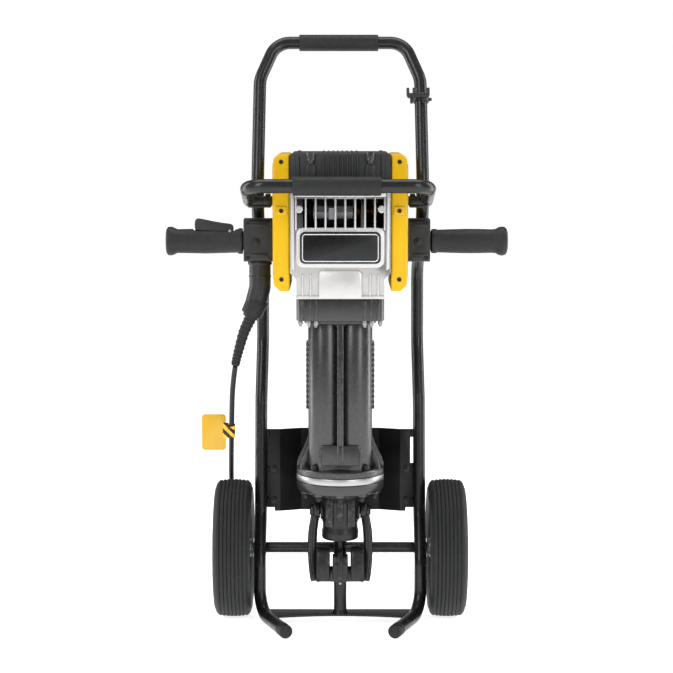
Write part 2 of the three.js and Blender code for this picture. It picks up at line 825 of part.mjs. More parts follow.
function rodGeometry() {
  return cut(
    join(
      rodX(13, -7, 7, 0, BIG_END_Z),
      rodX(9, -7, 7, 0, SMALL_END_Z),
      block(-4, 4, -5, 5, SMALL_END_Z + 5, BIG_END_Z - 8),
    ),
    rodX(6.6, -10, 10, 0, BIG_END_Z),
    rodX(4.8, -10, 10, 0, SMALL_END_Z),
  );
}

function pistonGeometry() {
  const crown = [505, 530.5];
  const solids = [rodZ(PISTON_RADIUS, ...crown, 0, 0, 24)];
  for (const x of [-14, 8]) solids.push(block(x, x + 6, -12, 12, crown[1] - 1, SMALL_END_Z + 9));
  return cut(join(...solids), rodX(4.8, -20, 20, 0, SMALL_END_Z));
}

function ramGeometry() {
  const profile = [
    [0, 345],
    [16, 345],
    [PISTON_RADIUS, 352],
    [PISTON_RADIUS, 415],
    [0, 415],
  ];
  return latheZ(profile, 24);
}

function beatPieceGeometry() {
  const profile = [
    [0, 244],
    [10, 244],
    [11, 262],
    [16, 268],
    [16, 318],
    [11, 324],
    [11, 334],
    [0, 334],
  ];
  return latheZ(profile, 20);
}

function drive() {
  return group(
    v(0, 0, 0),
    piece("armature", armatureGeometry(), FINISH.copper),
    piece("cooling_fan", fanGeometry(), FINISH.blackPlastic),
    piece("stator", stator(), FINISH.steel),
    piece("motor_bearing_left", motorBearing(BEARING.left), FINISH.steel),
    piece("motor_bearing_right", motorBearing(BEARING.right), FINISH.steel),
    piece("layshaft", layshaftGeometry(), FINISH.steel),
    piece("crank_gear", crankGeometry(), FINISH.steel),
    piece("connecting_rod", rodGeometry(), FINISH.steel),
    piece("wrist_pin", rodX(4.3, -7.6, 7.6, 0, SMALL_END_Z), FINISH.steel),
    piece("piston", pistonGeometry(), FINISH.steel),
    piece("cylinder", ringGeometry(CYLINDER.radius, CYLINDER.bore, CYLINDER.bottom, CYLINDER.top, 24), FINISH.steel),
    piece("ram", ramGeometry(), FINISH.steel),
    piece("beat_guide", ringGeometry(CYLINDER.radius, 17, 286, CYLINDER.bottom - 1.5, 24), FINISH.steel),
    piece("beat_piece", beatPieceGeometry(), FINISH.steel),
  );
}

// ---- Cord ------------------------------------------------------------------------------------
const TAIL = { top: v(-144, -2, 665.6), bend: v(-144, -2, 618), end: v(-151, -2, 592) };

function cordTailGeometry() {
  return tube(new BentPath([TAIL.top, TAIL.bend, TAIL.end], [40]), 19.5, 14);
}

function strainReliefGeometry() {
  const lean = TAIL.end.clone().sub(TAIL.bend).normalize();
  const [top, waist] = [GAP, 28].map((reach) => TAIL.end.clone().addScaledVector(lean, reach));
  const sleeve = taper(waist.clone().setZ(waist.z + 4), point(SLEEVE_END), 11, 6.5, 14);
  return join(taper(top, waist, 16.5, 15.5, 14), sleeve);
}

function cordLeadGeometry() {
  const extrudePath = new THREE.CatmullRomCurve3(CORD_ROUTE.map(point));
  return new THREE.ExtrudeGeometry(disc(CORD_RADIUS), { steps: 28, extrudePath, curveSegments: 4 });
}

function cordHankGeometry() {
  const { x, half, from, to, top } = HANK;
  const shape = roundedRectangle(x - half, x + half, from, to, half - 0.01);
  return prismZ(shape, 0.2, top, 6);
}

function plugGeometry() {
  const base = HANK.top + GAP;
  const { half, height, from, to, pins } = PLUG;
  const body = roundedRectangle(HANK.x - half, HANK.x + half, base, base + height, 14);
  const middle = base + height / 2;
  return join(
    prismY(body, from, to, 3),
    rodY(2.4, to - 1, pins, HANK.x - 9.5, middle, 8),
    rodY(2.4, to - 1, pins, HANK.x + 9.5, middle, 8),
  );
}

// A card on a strap that rings the cord.
function warningTagGeometry() {
  const onCord = v(-200.2, 61.8, 347);
  const along = v(-3, 40, -61).normalize();
  const strap = disc(8.2);
  strap.holes.push(disc(5.6));
  const turn = new THREE.Quaternion().setFromUnitVectors(AXIS_Z, along);
  const loop = prismZ(strap, -12, 12, 6).applyQuaternion(turn).translate(...onCord);
  const card = roundedRectangle(-255, -210.5, 311, 378, 6);
  const [near, far] = [onCord.y - 0.8, onCord.y + 0.8];
  return join(loop, prismY(card, near, far, 2), block(-214, -206.6, near, far, 339, 355));
}

function breaker() {
  const made = group(
    v(0, 0, 0),
    piece("motor_housing", motorHousingGeometry(), FINISH.silver),
    piece("top_cover", topCoverGeometry(), FINISH.blackPlastic),
    piece("badge_plate", badgePlateGeometry(), FINISH.blackPlastic),
    piece("barrel_housing", barrelHousingGeometry(), FINISH.blackCasting),
    piece("damper_ring", ringGeometry(FLANGE.radius, FLANGE.bore, FLANGE.top, BARREL.bottom), FINISH.silver),
    piece("nose_flange", noseFlangeGeometry(), FINISH.blackCasting),
    piece("nose_housing", noseHousingGeometry(), FINISH.blackCasting),
    piece("retainer", retainerGeometry(), FINISH.blackCasting),
    piece("carry_bar", carryBarGeometry(), FINISH.blackTube),
    piece("carry_grip", carryGripGeometry(), FINISH.rubber),
    piece("cord_tail", cordTailGeometry(), FINISH.blackPlastic),
    piece("strain_relief", strainReliefGeometry(), FINISH.rubber),
    piece("cord_lead", cordLeadGeometry(), FINISH.rubber),
    piece("cord_hank", cordHankGeometry(), FINISH.rubber),
    piece("plug", plugGeometry(), FINISH.blackPlastic),
    piece("warning_tag", warningTagGeometry(), FINISH.tag),
    drive(),
  );
  for (const [name, side] of SIDES) {
    made.add(onSide(side, piece(`side_cover_${name}`, sideCoverGeometry(), FINISH.yellow)));
    made.add(handle(name, side));
  }
  return made;
}

export default group(v(-FOOTPRINT_CENTRE.x, -FOOTPRINT_CENTRE.y, 0), truck(), breaker());
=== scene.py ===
"""Looks of an electric pavement breaker standing on its two-wheeled truck."""

import logging
import math
from collections.abc import Iterable, Sequence
from dataclasses import dataclass
from enum import Enum

import bmesh
import bpy
from mathutils import Matrix, Vector


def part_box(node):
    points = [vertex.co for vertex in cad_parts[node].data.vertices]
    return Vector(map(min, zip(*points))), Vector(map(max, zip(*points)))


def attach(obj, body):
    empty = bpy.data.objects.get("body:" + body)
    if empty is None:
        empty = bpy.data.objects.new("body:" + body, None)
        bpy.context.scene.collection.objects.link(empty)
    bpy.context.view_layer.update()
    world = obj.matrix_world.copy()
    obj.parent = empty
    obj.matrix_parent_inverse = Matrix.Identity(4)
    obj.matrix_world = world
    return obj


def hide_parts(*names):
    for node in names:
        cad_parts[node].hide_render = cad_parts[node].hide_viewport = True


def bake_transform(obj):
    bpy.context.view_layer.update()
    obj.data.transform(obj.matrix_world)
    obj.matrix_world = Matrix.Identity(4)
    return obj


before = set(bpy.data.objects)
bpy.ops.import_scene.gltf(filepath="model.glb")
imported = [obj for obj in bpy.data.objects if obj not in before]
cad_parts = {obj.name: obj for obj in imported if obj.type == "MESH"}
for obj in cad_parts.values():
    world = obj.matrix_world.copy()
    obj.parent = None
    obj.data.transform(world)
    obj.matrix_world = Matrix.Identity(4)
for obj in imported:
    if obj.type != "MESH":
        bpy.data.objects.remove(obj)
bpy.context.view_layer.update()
LOG = logging.getLogger("breaker")

Point = tuple[float, float, float]
Span = tuple[float, float]
Tree = bpy.types.NodeTree
Socket = bpy.types.NodeSocket
SIDES = (("left", -1), ("right", 1))


def box_middle(node: str) -> Vector:
    """The middle of a CAD node's box, in metres."""
    low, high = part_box(node)
    return (Vector(low) + Vector(high)) / 2


PEG_MIDDLE = box_middle("tool_peg")
BREAKER_AXIS = Vector((PEG_MIDDLE.x, PEG_MIDDLE.y, 0))


def place(point: Sequence[float]) -> Vector:
    """A point given in millimetres from the breaker's axis and the floor, in the frame's metres."""
    return BREAKER_AXIS + Vector(point) / 1000


class Axis(Enum):
    """The direction that a turned or drawn-out shape runs in."""

    X = 0
    Y = 1
    Z = 2

    @property
    def turn(self) -> Matrix:
        """Takes a shape made along Z to this axis, its own (x, y) to the other two in order.

        Returns:
            The turn as a matrix.
        """
        rows = {
            Axis.X: ((0, 0, 1), (1, 0, 0), (0, 1, 0)),
            Axis.Y: ((1, 0, 0), (0, 0, -1), (0, 1, 0)),
            Axis.Z: ((1, 0, 0), (0, 1, 0), (0, 0, 1)),
        }
        return Matrix(rows[self]).to_4x4()


# ---- Finishes ---------------------------------------------------------------------------------
def linear(colour: str) -> tuple[float, float, float, float]:
    """Turns a colour as the eye sees it into light.

    Args:
        colour: sRGB, as # and six hexadecimal digits.

    Returns:
        Linear red, green, blue and full opacity.
    """
    channels = [int(colour[i : i + 2], 16) / 255 for i in (1, 3, 5)]
    lit = [c / 12.92 if c <= 0.04045 else ((c + 0.055) / 1.055) ** 2.4 for c in channels]
    return (*lit, 1.0)


def add_node(tree: Tree, kind: str, links: dict | None = None, **settings: object) -> bpy.types.Node:
    """Adds a node.

    Args:
        tree: the material's nodes.
        kind: the node's type without its ShaderNode prefix.
        links: socket name or number to a value, or to the output socket that feeds it.
        settings: the node's own properties.

    Returns:
        The new node.
    """
    node = tree.nodes.new("ShaderNode" + kind)
    for name, value in settings.items():
        setattr(node, name, value)
    for socket, value in (links or {}).items():
        if isinstance(value, Socket):
            tree.links.new(value, node.inputs[socket])
        else:
            node.inputs[socket].default_value = value
    return node


@dataclass(frozen=True)
class Finish:
    """A surface with a mottled colour, a varying gloss and a fine grain.

    Sizes are in millimetres: grain is the spacing of the finest texture, depth its height,
    mottle the size of the patches of slightly different colour.
    """

    name: str
    colour: str
    patch: str
    roughness: Span
    metallic: float = 0.0
    grain: float = 0.6
    depth: float = 0.05
    mottle: float = 40.0
    worn: str | None = None
    coat: float = 0.0
    specular: float = 0.5
    glow: float = 0.0

    def build(self) -> bpy.types.Material:
        """Makes the material, or finds the one already made.

        Returns:
            The material.
        """
        made = bpy.data.materials.get(self.name)
        if made:
            return made
        material = bpy.data.materials.new(self.name)
        material.use_nodes = True
        tree = material.node_tree
        tree.nodes.clear()
        where = add_node(tree, "TexCoord").outputs["Object"]
        colour, roughness = self.surface(tree, where)
        shader = add_node(tree, "BsdfPrincipled", {"Base Color": colour, "Roughness": roughness})
        shader.inputs["Metallic"].default_value = self.metallic
        shader.inputs["Coat Weight"].default_value = self.coat
        shader.inputs["Coat Roughness"].default_value = 0.2
        shader.inputs["Specular IOR Level"].default_value = self.specular
        shader.inputs["Emission Color"].default_value = linear(self.colour)
        shader.inputs["Emission Strength"].default_value = self.glow
        skin = {"Height": self.relief(tree, where), "Distance": self.depth / 1000, "Strength": 0.8}
        bump = add_node(tree, "Bump", skin)
        tree.links.new(bump.outputs["Normal"], shader.inputs["Normal"])
        add_node(tree, "OutputMaterial", {"Surface": shader.outputs["BSDF"]})
        return material

    def noise(self, tree: Tree, where: Socket, size: float, detail: float = 3.0) -> Socket:
        """Noise whose lumps are size millimetres across."""
        lumps = {"Vector": where, "Scale": 1000 / size, "Detail": detail}
        return add_node(tree, "TexNoise", lumps).outputs["Fac"]

    def surface(self, tree: Tree, where: Socket) -> tuple[Socket, Socket]:
        """The colour and roughness of each point.

        Args:
            tree: the material's nodes.
            where: the point's place on the object.

        Returns:
            The colour and the roughness sockets.
        """
        patches = self.noise(tree, where, self.mottle)
        shades = {"Factor": patches, 6: linear(self.colour), 7: linear(self.patch)}
        colour = add_node(tree, "Mix", shades, data_type="RGBA").outputs[2]
        if self.worn:
            colour = self.rub(tree, where, colour)
        low, high = self.roughness
        smears = self.noise(tree, where, self.mottle / 5)
        reach = {"Value": smears, "From Min": 0.3, "From Max": 0.7, "To Min": low, "To Max": high}
        return colour, add_node(tree, "MapRange", reach).outputs["Result"]

    def rub(self, tree: Tree, where: Socket, colour: Socket) -> Socket:
        """The colour with its sharp edges rubbed through in places.

        Args:
            tree: the material's nodes.
            where: the point's place on the object.
            colour: the paint's own colour.

        Returns:
            The colour with the rubbed edges.
        """
        edge = add_node(tree, "NewGeometry").outputs["Pointiness"]
        ridge = {"Value": edge, "From Min": 0.53, "From Max": 0.6}
        sharp = add_node(tree, "MapRange", ridge).outputs["Result"]
        chips = {"Value": self.noise(tree, where, 6.0), "From Min": 0.5, "From Max": 0.62, "To Max": 0.7}
        broken = add_node(tree, "MapRange", chips).outputs["Result"]
        amount = add_node(tree, "Math", {0: sharp, 1: broken}, operation="MULTIPLY").outputs[0]
        mix = add_node(tree, "Mix", {"Factor": amount, 6: colour, 7: linear(self.worn)}, data_type="RGBA")
        return mix.outputs[2]

    def relief(self, tree: Tree, where: Socket) -> Socket:
        """The height of the finest texture."""
        return self.noise(tree, where, self.grain, 2.0)


@dataclass(frozen=True)
class Turned(Finish):
    """Steel with the fine circular lines that a lathe tool leaves, which run round one axis."""

    lines: Point = (1.0, 30.0, 30.0)

    def relief(self, tree: Tree, where: Socket) -> Socket:
        """Noise squeezed along the tool's feed into lines."""
        stretched = add_node(tree, "Mapping", {"Vector": where, "Scale": tuple(1 / n for n in self.lines)})
        return self.noise(tree, stretched.outputs["Vector"], self.grain, 2.0)


@dataclass(frozen=True)
class Pebbled(Finish):
    """Rubber moulded with small raised pebbles."""

    def relief(self, tree: Tree, where: Socket) -> Socket:
        """Rounded cells, highest in their middles."""
        cells = add_node(tree, "TexVoronoi", {"Vector": where, "Scale": 1000 / self.grain})
        return add_node(tree, "Math", {0: 1.0, 1: cells.outputs["Distance"]}, operation="SUBTRACT").outputs[0]


@dataclass(frozen=True)
class Striped(Finish):
    """Printed webbing with slanting bars, whose spacing is pitch millimetres."""

    pitch: float = 13.0

    def surface(self, tree: Tree, where: Socket) -> tuple[Socket, Socket]:
        """Bars of the two colours, at forty-five degrees in x and z.

        Args:
            tree: the material's nodes.
            where: the point's place on the object.

        Returns:
            The colour and the roughness sockets.
        """
        turned = add_node(tree, "Mapping", {"Vector": where, "Rotation": (0, math.radians(45), 0)})
        across = {"Vector": turned.outputs["Vector"], "Scale": math.tau * 1000 / (20 * self.pitch)}
        wave = add_node(tree, "TexWave", across, wave_type="BANDS", bands_direction="X").outputs["Fac"]
        border = {"Value": wave, "From Min": 0.48, "From Max": 0.52}
        bars = add_node(tree, "MapRange", border).outputs["Result"]
        shades = {"Factor": bars, 6: linear(self.colour), 7: linear(self.patch)}
        colour = add_node(tree, "Mix", shades, data_type="RGBA").outputs[2]
        low, high = self.roughness
        reach = {"Value": self.noise(tree, where, 4.0), "To Min": low, "To Max": high}
        return colour, add_node(tree, "MapRange", reach).outputs["Result"]


# Baked powder paint on steel tube: a tight soft gloss with a faint orange peel.
POWDER_COAT = Finish(
    "black_powder_coat", "#141516", "#0f1011", (0.26, 0.38), grain=2.2, depth=0.03,
    worn="#3c3d3f", specular=0.35, coat=0.1,
)
# Thicker baked paint on folded sheet: the deepest black, in broad smooth patches.
PANEL_PAINT = Finish(
    "black_panel_paint", "#0c0c0d", "#090a0a", (0.3, 0.4), grain=2.6, depth=0.02, mottle=70, specular=0.25
)
# Painted iron casting: satin, with sand grain under the paint.
CAST_PAINT = Finish(
    "black_painted_casting", "#1c1c1d", "#181819", (0.27, 0.34), grain=1.1, depth=0.008, mottle=60,
    worn="#4a4b4d", specular=0.75,
)
# Phosphated and oiled forging: darker than the paint, with a faint metal glint on its rubbed edges.
DARK_FORGING = Finish(
    "phosphated_forging", "#18191b", "#121315", (0.3, 0.42), grain=0.9, depth=0.04, mottle=18,
    metallic=0.2, worn="#56575a", specular=0.45,
)
# Glass-filled nylon moulded in a spark-eroded tool: an even, dull, fine grain.
BLACK_NYLON = Finish("black_nylon", "#1c1d1e", "#161718", (0.4, 0.52), grain=0.7, depth=0.05, specular=0.45)
# Soft over-moulded grip rubber with a pebbled skin.
GRIP_RUBBER = Pebbled("grip_rubber", "#1b1c1d", "#151617", (0.5, 0.64), grain=1.4, depth=0.06, specular=0.35)
# Foam tube: darker and drier than the moulded rubber.
SLEEVE_RUBBER = Finish(
    "sleeve_rubber", "#18191a", "#121314", (0.5, 0.66), grain=1.2, depth=0.08, specular=0.35
)
# Vulcanised tyre rubber with a little dust in its pores.
TYRE_RUBBER = Finish(
    "tyre_rubber", "#232425", "#1b1c1d", (0.55, 0.7), grain=1.6, depth=0.08, mottle=25, specular=0.3
)
# Glossy yellow ABS with a faint moulding ripple.
YELLOW_ABS = Finish(
    "yellow_abs", "#d2a700", "#cca000", (0.3, 0.42), grain=2.5, depth=0.02, coat=0.1, specular=0.22
)
# Silver lacquer over a die casting: a fine metallic sparkle on a slightly rough skin.
SILVER_CASTING = Finish(
    "silver_lacquered_casting", "#c5c4c3", "#bdbcbb", (0.34, 0.44), metallic=0.6, grain=0.9, depth=0.03,
    mottle=14
)
# Bare turned steel: bright, its highlights drawn out by the lathe's lines.
TURNED_STEEL = Turned("turned_steel", "#b9bbbe", "#a3a5a8", (0.2, 0.34), metallic=1.0, grain=0.5, depth=0.02)
# A bright ring turned about the breaker's axis: an even band of light all round.
RING_STEEL = Turned(
    "turned_ring", "#b4b4b4", "#a6a6a6", (0.34, 0.42), metallic=1.0, grain=0.6, depth=0.0008,
    lines=(60.0, 60.0, 1.0)
)
# Zinc-plated screws: small bright glints.
ZINC_SCREW = Finish(
    "zinc_plated_screw", "#9a9c9f", "#7d7f82", (0.25, 0.42), metallic=1.0, grain=0.8, depth=0.03
)
# Black-oxide socket screws: dark, with a dull metal shine.
BLACK_SCREW = Finish(
    "black_oxide_screw", "#2b2c2e", "#1f2022", (0.3, 0.45), metallic=0.6, grain=0.8, depth=0.03
)
# Galvanised pressed-steel rims: pale grey with a faint spangle.
RIM_STEEL = Finish(
    "galvanised_rim", "#a9abad", "#8f9194", (0.35, 0.5), metallic=1.0, grain=2.0, depth=0.03, mottle=12
)
# Laminated yellow card: flat and bright under a thin clear gloss.
TAG_CARD = Finish(
    "laminated_card", "#d2a61e", "#cc9d1a", (0.3, 0.42), grain=1.5, depth=0.02, coat=0.2, mottle=20
)
# Printed warning webbing: yellow and black bars on a coarse weave.
STRAP = Striped("striped_webbing", "#f7c022", "#19191a", (0.45, 0.6), grain=0.9, depth=0.1)
# Soft PVC cord jacket: an even satin black.
CORD_PVC = Finish("cord_pvc", "#1c1d1e", "#161718", (0.42, 0.55), grain=1.2, depth=0.03, specular=0.35)
# Enamelled copper windings: a warm glint behind the vents.
COPPER = Finish("enamelled_copper", "#a65a2c", "#8a4520", (0.3, 0.45), metallic=1.0, grain=1.0, depth=0.08)
# Blank gloss badge, the shiniest black, and its pale border line.
BADGE_GLOSS = Finish(
    "badge_gloss_black", "#0d0e0f", "#0a0b0c", (0.2, 0.28), grain=3.0, depth=0.005, coat=0.1, specular=0.3
)
BADGE_LINE = Finish(
    "badge_border_enamel", "#d9dadb", "#cbccce", (0.25, 0.35), metallic=0.3, grain=2.0, depth=0.01
)
# Seamless pale paper sweep: it glows a little, so that the floor stays white.
PAPER = Finish("paper_sweep", "#fdfdfd", "#fbfbfb", (0.8, 0.95), grain=4.0, depth=0.02, mottle=300, glow=0.82)


# ---- Mesh building ----------------------------------------------------------------------------
def filleted(corners: Sequence[Point], bends: Sequence[float], step: float = 6.0) -> list[Vector]:
    """A run of straight lengths with round bends at its corners.

    Args:
        corners: the run's ends and corners, in millimetres.
        bends: the radius at each inner corner.
        step: the turn between points on a bend, in degrees.

    Returns:
        The points along it.
    """
    points = [Vector(corners[0])]
    for before, corner, after, radius in zip(corners, corners[1:], corners[2:], bends):
        arriving = (Vector(corner) - Vector(before)).normalized()
        leaving = (Vector(after) - Vector(corner)).normalized()
        angle = arriving.angle(leaving)
        start = Vector(corner) - arriving * radius * math.tan(angle / 2)
        side = (leaving - arriving * arriving.dot(leaving)).normalized()
        count = max(2, math.ceil(math.degrees(angle) / step))
        for k in range(count + 1):
            turned = angle * k / count
            points.append(
                start + arriving * radius * math.sin(turned) + side * radius * (1 - math.cos(turned))
            )
    points.append(Vector(corners[-1]))
    return points


def arc(centre: Span, radius: float, start: float, end: float, count: int = 6) -> list[Span]:
    """Points on an arc, from start to end in degrees."""
    angles = [math.radians(start + (end - start) * k / count) for k in range(count + 1)]
    return [(centre[0] + radius * math.cos(a), centre[1] + radius * math.sin(a)) for a in angles]


def rounded(a: Span, b: Span, radius: float, count: int = 6) -> list[Span]:
    """A rectangle's outline with round corners.

    Args:
        a: its two ends on the first axis.
        b: its two ends on the second axis.
        radius: the corners' radius.
        count: the steps in each corner.

    Returns:
        The points, anticlockwise.
    """
    (a0, a1), (b0, b1) = a, b
    return [
        *arc((a1 - radius, b0 + radius), radius, -90, 0, count),
        *arc((a1 - radius, b1 - radius), radius, 0, 90, count),
        *arc((a0 + radius, b1 - radius), radius, 90, 180, count),
        *arc((a0 + radius, b0 + radius), radius, 180, 270, count),
    ]


class Solid:
    """A mesh being built by bmesh operators, in millimetres from the breaker's axis."""

    def __init__(self) -> None:
        """Starts empty."""
        self.mesh = bmesh.new()

    def take(self, made: bmesh.types.BMesh, move: Matrix | None = None) -> None:
        """Adds a finished bmesh and frees it.

        Args:
            made: the bmesh.
            move: where it goes, or None to leave it where it is.
        """
        if move is not None:
            bmesh.ops.transform(made, matrix=move, verts=made.verts)
        passing = bpy.data.meshes.new("passing")
        made.to_mesh(passing)
        made.free()
        self.mesh.from_mesh(passing)
        bpy.data.meshes.remove(passing)

    @staticmethod
    def soften(made: bmesh.types.BMesh, width: float, segments: int = 2, least: float = 25.0) -> None:
        """Rounds a bmesh's edges.

        Args:
            made: the bmesh.
            width: how far the round reaches from the edge.
            segments: the steps in the round.
            least: the turn in degrees above which an edge is rounded.
        """
        if width <= 0:
            return
        limit = math.radians(least)
        edges = [e for e in made.edges if len(e.link_faces) == 2 and e.calc_face_angle(0) > limit]
        bmesh.ops.bevel(
            made, geom=edges, offset=width, segments=segments, profile=0.5, affect="EDGES", material=-1,
            clamp_overlap=True,
        )

    def box(self, x: Span, y: Span, z: Span, soft: float = 1.0, turn: Matrix | None = None) -> None:
        """Adds a block.

        Args:
            x: its two ends along X.
            y: its two ends along Y.
            z: its two ends along Z.
            soft: the round on its edges.
            turn: a rotation about its middle.
        """
        made = bmesh.new()
        bmesh.ops.create_cube(made, size=1)
        size = Vector((x[1] - x[0], y[1] - y[0], z[1] - z[0]))
        bmesh.ops.scale(made, vec=size, verts=made.verts)
        self.soften(made, min(soft, min(size) * 0.45))
        middle = Vector((x[0] + x[1], y[0] + y[1], z[0] + z[1])) / 2
        self.take(made, Matrix.Translation(middle) @ (turn or Matrix()))

    def rod(self, start: Sequence[float], end: Sequence[float], radius: float, tip: float | None = None,
            soft: float = 0.8, sides: int = 32) -> None:
        """Adds a round bar, or a six-sided one.

        Args:
            start: the middle of its first end.
            end: the middle of its other end.
            radius: its radius at the start.
            tip: its radius at the end, when that differs.
            soft: the round on its ends.
            sides: its number of sides.
        """
        start, end = Vector(start), Vector(end)
        along = end - start
        last = radius if tip is None else tip
        made = bmesh.new()
        bmesh.ops.create_cone(
            made, cap_ends=True, segments=sides, radius1=radius, radius2=last, depth=along.length
        )
        self.soften(made, soft, least=40 if sides > 8 else 25)
        turn = Vector((0, 0, 1)).rotation_difference(along).to_matrix().to_4x4()
        self.take(made, Matrix.Translation((start + end) / 2) @ turn)

    def slab(self, outline: Sequence[Span], axis: Axis, span: Span, soft: float = 1.0, segments: int = 2,
             bore: float = 0.0) -> None:
        """Adds an outline drawn out along an axis.

        Args:
            outline: its corners in the two other axes, in order.
            axis: the axis.
            span: where it starts and ends on that axis.
            soft: the round on its edges.
            segments: the steps in the round.
            bore: the radius of a hole through the outline's origin, or 0 for none.
        """
        made = bmesh.new()
        face = made.faces.new([made.verts.new((a, b, 0)) for a, b in outline])
        face.normal_update()
        if bore:
            hole = [made.verts.new((a, b, 0)) for a, b in arc((0, 0), bore, 0, 360, 48)[:-1]]
            rim = [*face.edges, *(made.edges.new(pair) for pair in zip(hole, hole[1:] + hole[:1]))]
            bmesh.ops.delete(made, geom=[face], context="FACES_ONLY")
            bmesh.ops.triangle_fill(made, use_beauty=True, edges=rim, normal=(0, 0, 1))
        drawn = bmesh.ops.extrude_face_region(made, geom=made.faces[:])
        top = [v for v in drawn["geom"] if isinstance(v, bmesh.types.BMVert)]
        depth = span[1] - span[0]
        bmesh.ops.translate(made, vec=(0, 0, depth), verts=top)
        bmesh.ops.recalc_face_normals(made, faces=made.faces)
        self.soften(made, soft, segments)
        low = {Axis.X: (span[0], 0, 0), Axis.Y: (0, span[1], 0), Axis.Z: (0, 0, span[0])}[axis]
        self.take(made, Matrix.Translation(low) @ axis.turn)

    def turned(
        self, profile: Sequence[Span], axis: Axis, centre: Sequence[float] = (0, 0, 0), sides: int = 48,
        soft: float = 0.0
    ) -> None:
        """Adds a profile spun full round an axis.

        Args:
            profile: (radius, height along the axis) points, closed on itself or on the axis.
            axis: the axis.
            centre: where the profile's zero lies.
            sides: the steps in the turn.
            soft: the round on the edges.
        """
        made = bmesh.new()
        verts = [made.verts.new((r, 0, h)) for r, h in profile]
        edges = [made.edges.new(pair) for pair in zip(verts, verts[1:])]
        if profile[0][0] > 0 or profile[-1][0] > 0:
            edges.append(made.edges.new((verts[-1], verts[0])))
        bmesh.ops.spin(
            made, geom=verts + edges, cent=(0, 0, 0), axis=(0, 0, 1), angle=2 * math.pi, steps=sides,
            use_merge=True
        )
        bmesh.ops.remove_doubles(made, verts=made.verts, dist=1e-4)
        bmesh.ops.dissolve_degenerate(made, edges=made.edges, dist=1e-5)
        bmesh.ops.recalc_face_normals(made, faces=made.faces)
        self.soften(made, soft)
        heading = Vector([float(axis.value == n) for n in range(3)])
        turn = Vector((0, 0, 1)).rotation_difference(heading).to_matrix().to_4x4()
        self.take(made, Matrix.Translation(centre) @ turn)

    def pipe(self, points: Sequence[Vector], radius: float, sides: int = 24,
             radii: Sequence[float] | None = None) -> None:
        """Adds a round bar along a line, closed at its ends.

        Args:
            points: the line.
            radius: the bar's radius.
            sides: its number of sides.
            radii: a share of the radius for each point.
        """
        curve = bpy.data.curves.new("passing", "CURVE")
        curve.dimensions = "3D"
        curve.bevel_depth = radius
        curve.bevel_resolution = sides // 4 - 1
        curve.use_fill_caps = True
        spline = curve.splines.new("POLY")
        spline.points.add(len(points) - 1)
        for index, (spot, point) in enumerate(zip(spline.points, points)):
            spot.co = (*point, 1)
            spot.radius = radii[index] if radii else 1.0
        holder = bpy.data.objects.new("passing", curve)
        made = bmesh.new()
        made.from_mesh(holder.to_mesh())
        holder.to_mesh_clear()
        bpy.data.objects.remove(holder)
        bpy.data.curves.remove(curve)
        bmesh.ops.remove_doubles(made, verts=made.verts, dist=1e-4)
        bmesh.ops.recalc_face_normals(made, faces=made.faces)
        self.take(made)

    def node(self, name: str, soft: float = 1.0, segments: int = 2, least: float = 25.0) -> None:
        """Adds a merged copy of a CAD node with its sharp edges rounded.

        Args:
            name: the node.
            soft: the round on its edges.
            segments: the steps in the round.
            least: the turn in degrees above which an edge is rounded.
        """
        made = bmesh.new()
        made.from_mesh(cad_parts[name].data)
        bmesh.ops.transform(
            made, matrix=Matrix.Scale(1000, 4) @ Matrix.Translation(-BREAKER_AXIS), verts=made.verts
        )
        bmesh.ops.remove_doubles(made, verts=made.verts, dist=1e-3)
        bmesh.ops.dissolve_limit(made, angle_limit=math.radians(1), verts=made.verts, edges=made.edges)
        self.soften(made, soft, segments, least)
        self.take(made)

    def finish(self, name: str, body: str | None, look: Finish, nodes: Iterable[str] = (),
               crease: float = 32.0) -> bpy.types.Object:
        """Turns the mesh into a piece of the model.

        Args:
            name: the piece's name.
            body: the CAD body that it rides on, or None for a piece that is attached to no body.
            look: the finish it gets.
            nodes: the CAD nodes that it stands for.
            crease: the angle in degrees above which an edge looks sharp.

        Returns:
            The new object.
        """
        home = Matrix.Translation(BREAKER_AXIS) @ Matrix.Scale(0.001, 4)
        bmesh.ops.transform(self.mesh, matrix=home, verts=self.mesh.verts)
        mesh = bpy.data.meshes.new(name)
        self.mesh.to_mesh(mesh)
        self.mesh.free()
        mesh.shade_smooth()
        mesh.set_sharp_from_angle(angle=math.radians(crease))
        mesh.materials.append(look.build())
        piece = bpy.data.objects.new(name, mesh)
        bpy.context.scene.collection.objects.link(piece)
        if body:
            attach(piece, body)
        if nodes:
            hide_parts(*nodes)
        LOG.info("%s on %s: %d faces", name, body, len(mesh.polygons))
        return piece


def screw_head(shape: Solid, centre: Point, axis: Axis, way: int, radius: float, height: float) -> None:
    """Adds a domed head with a round recess.

    Args:
        shape: the solid that gets it.
        centre: the middle of its seat.
        axis: the axis that it stands along.
        way: 1 to stand up that axis, -1 to stand down it.
        radius: the head's radius.
        height: the head's height.
    """
    rim = [(0, 0), (radius, 0), (radius, height * 0.6), (radius * 0.86, height), (radius * 0.55, height)]
    recess = [*rim, (radius * 0.5, height * 0.45), (0, height * 0.45)]
    if way < 0:
        recess = [(r, -h) for r, h in recess]
    shape.turned(recess, axis, centre, sides=18)


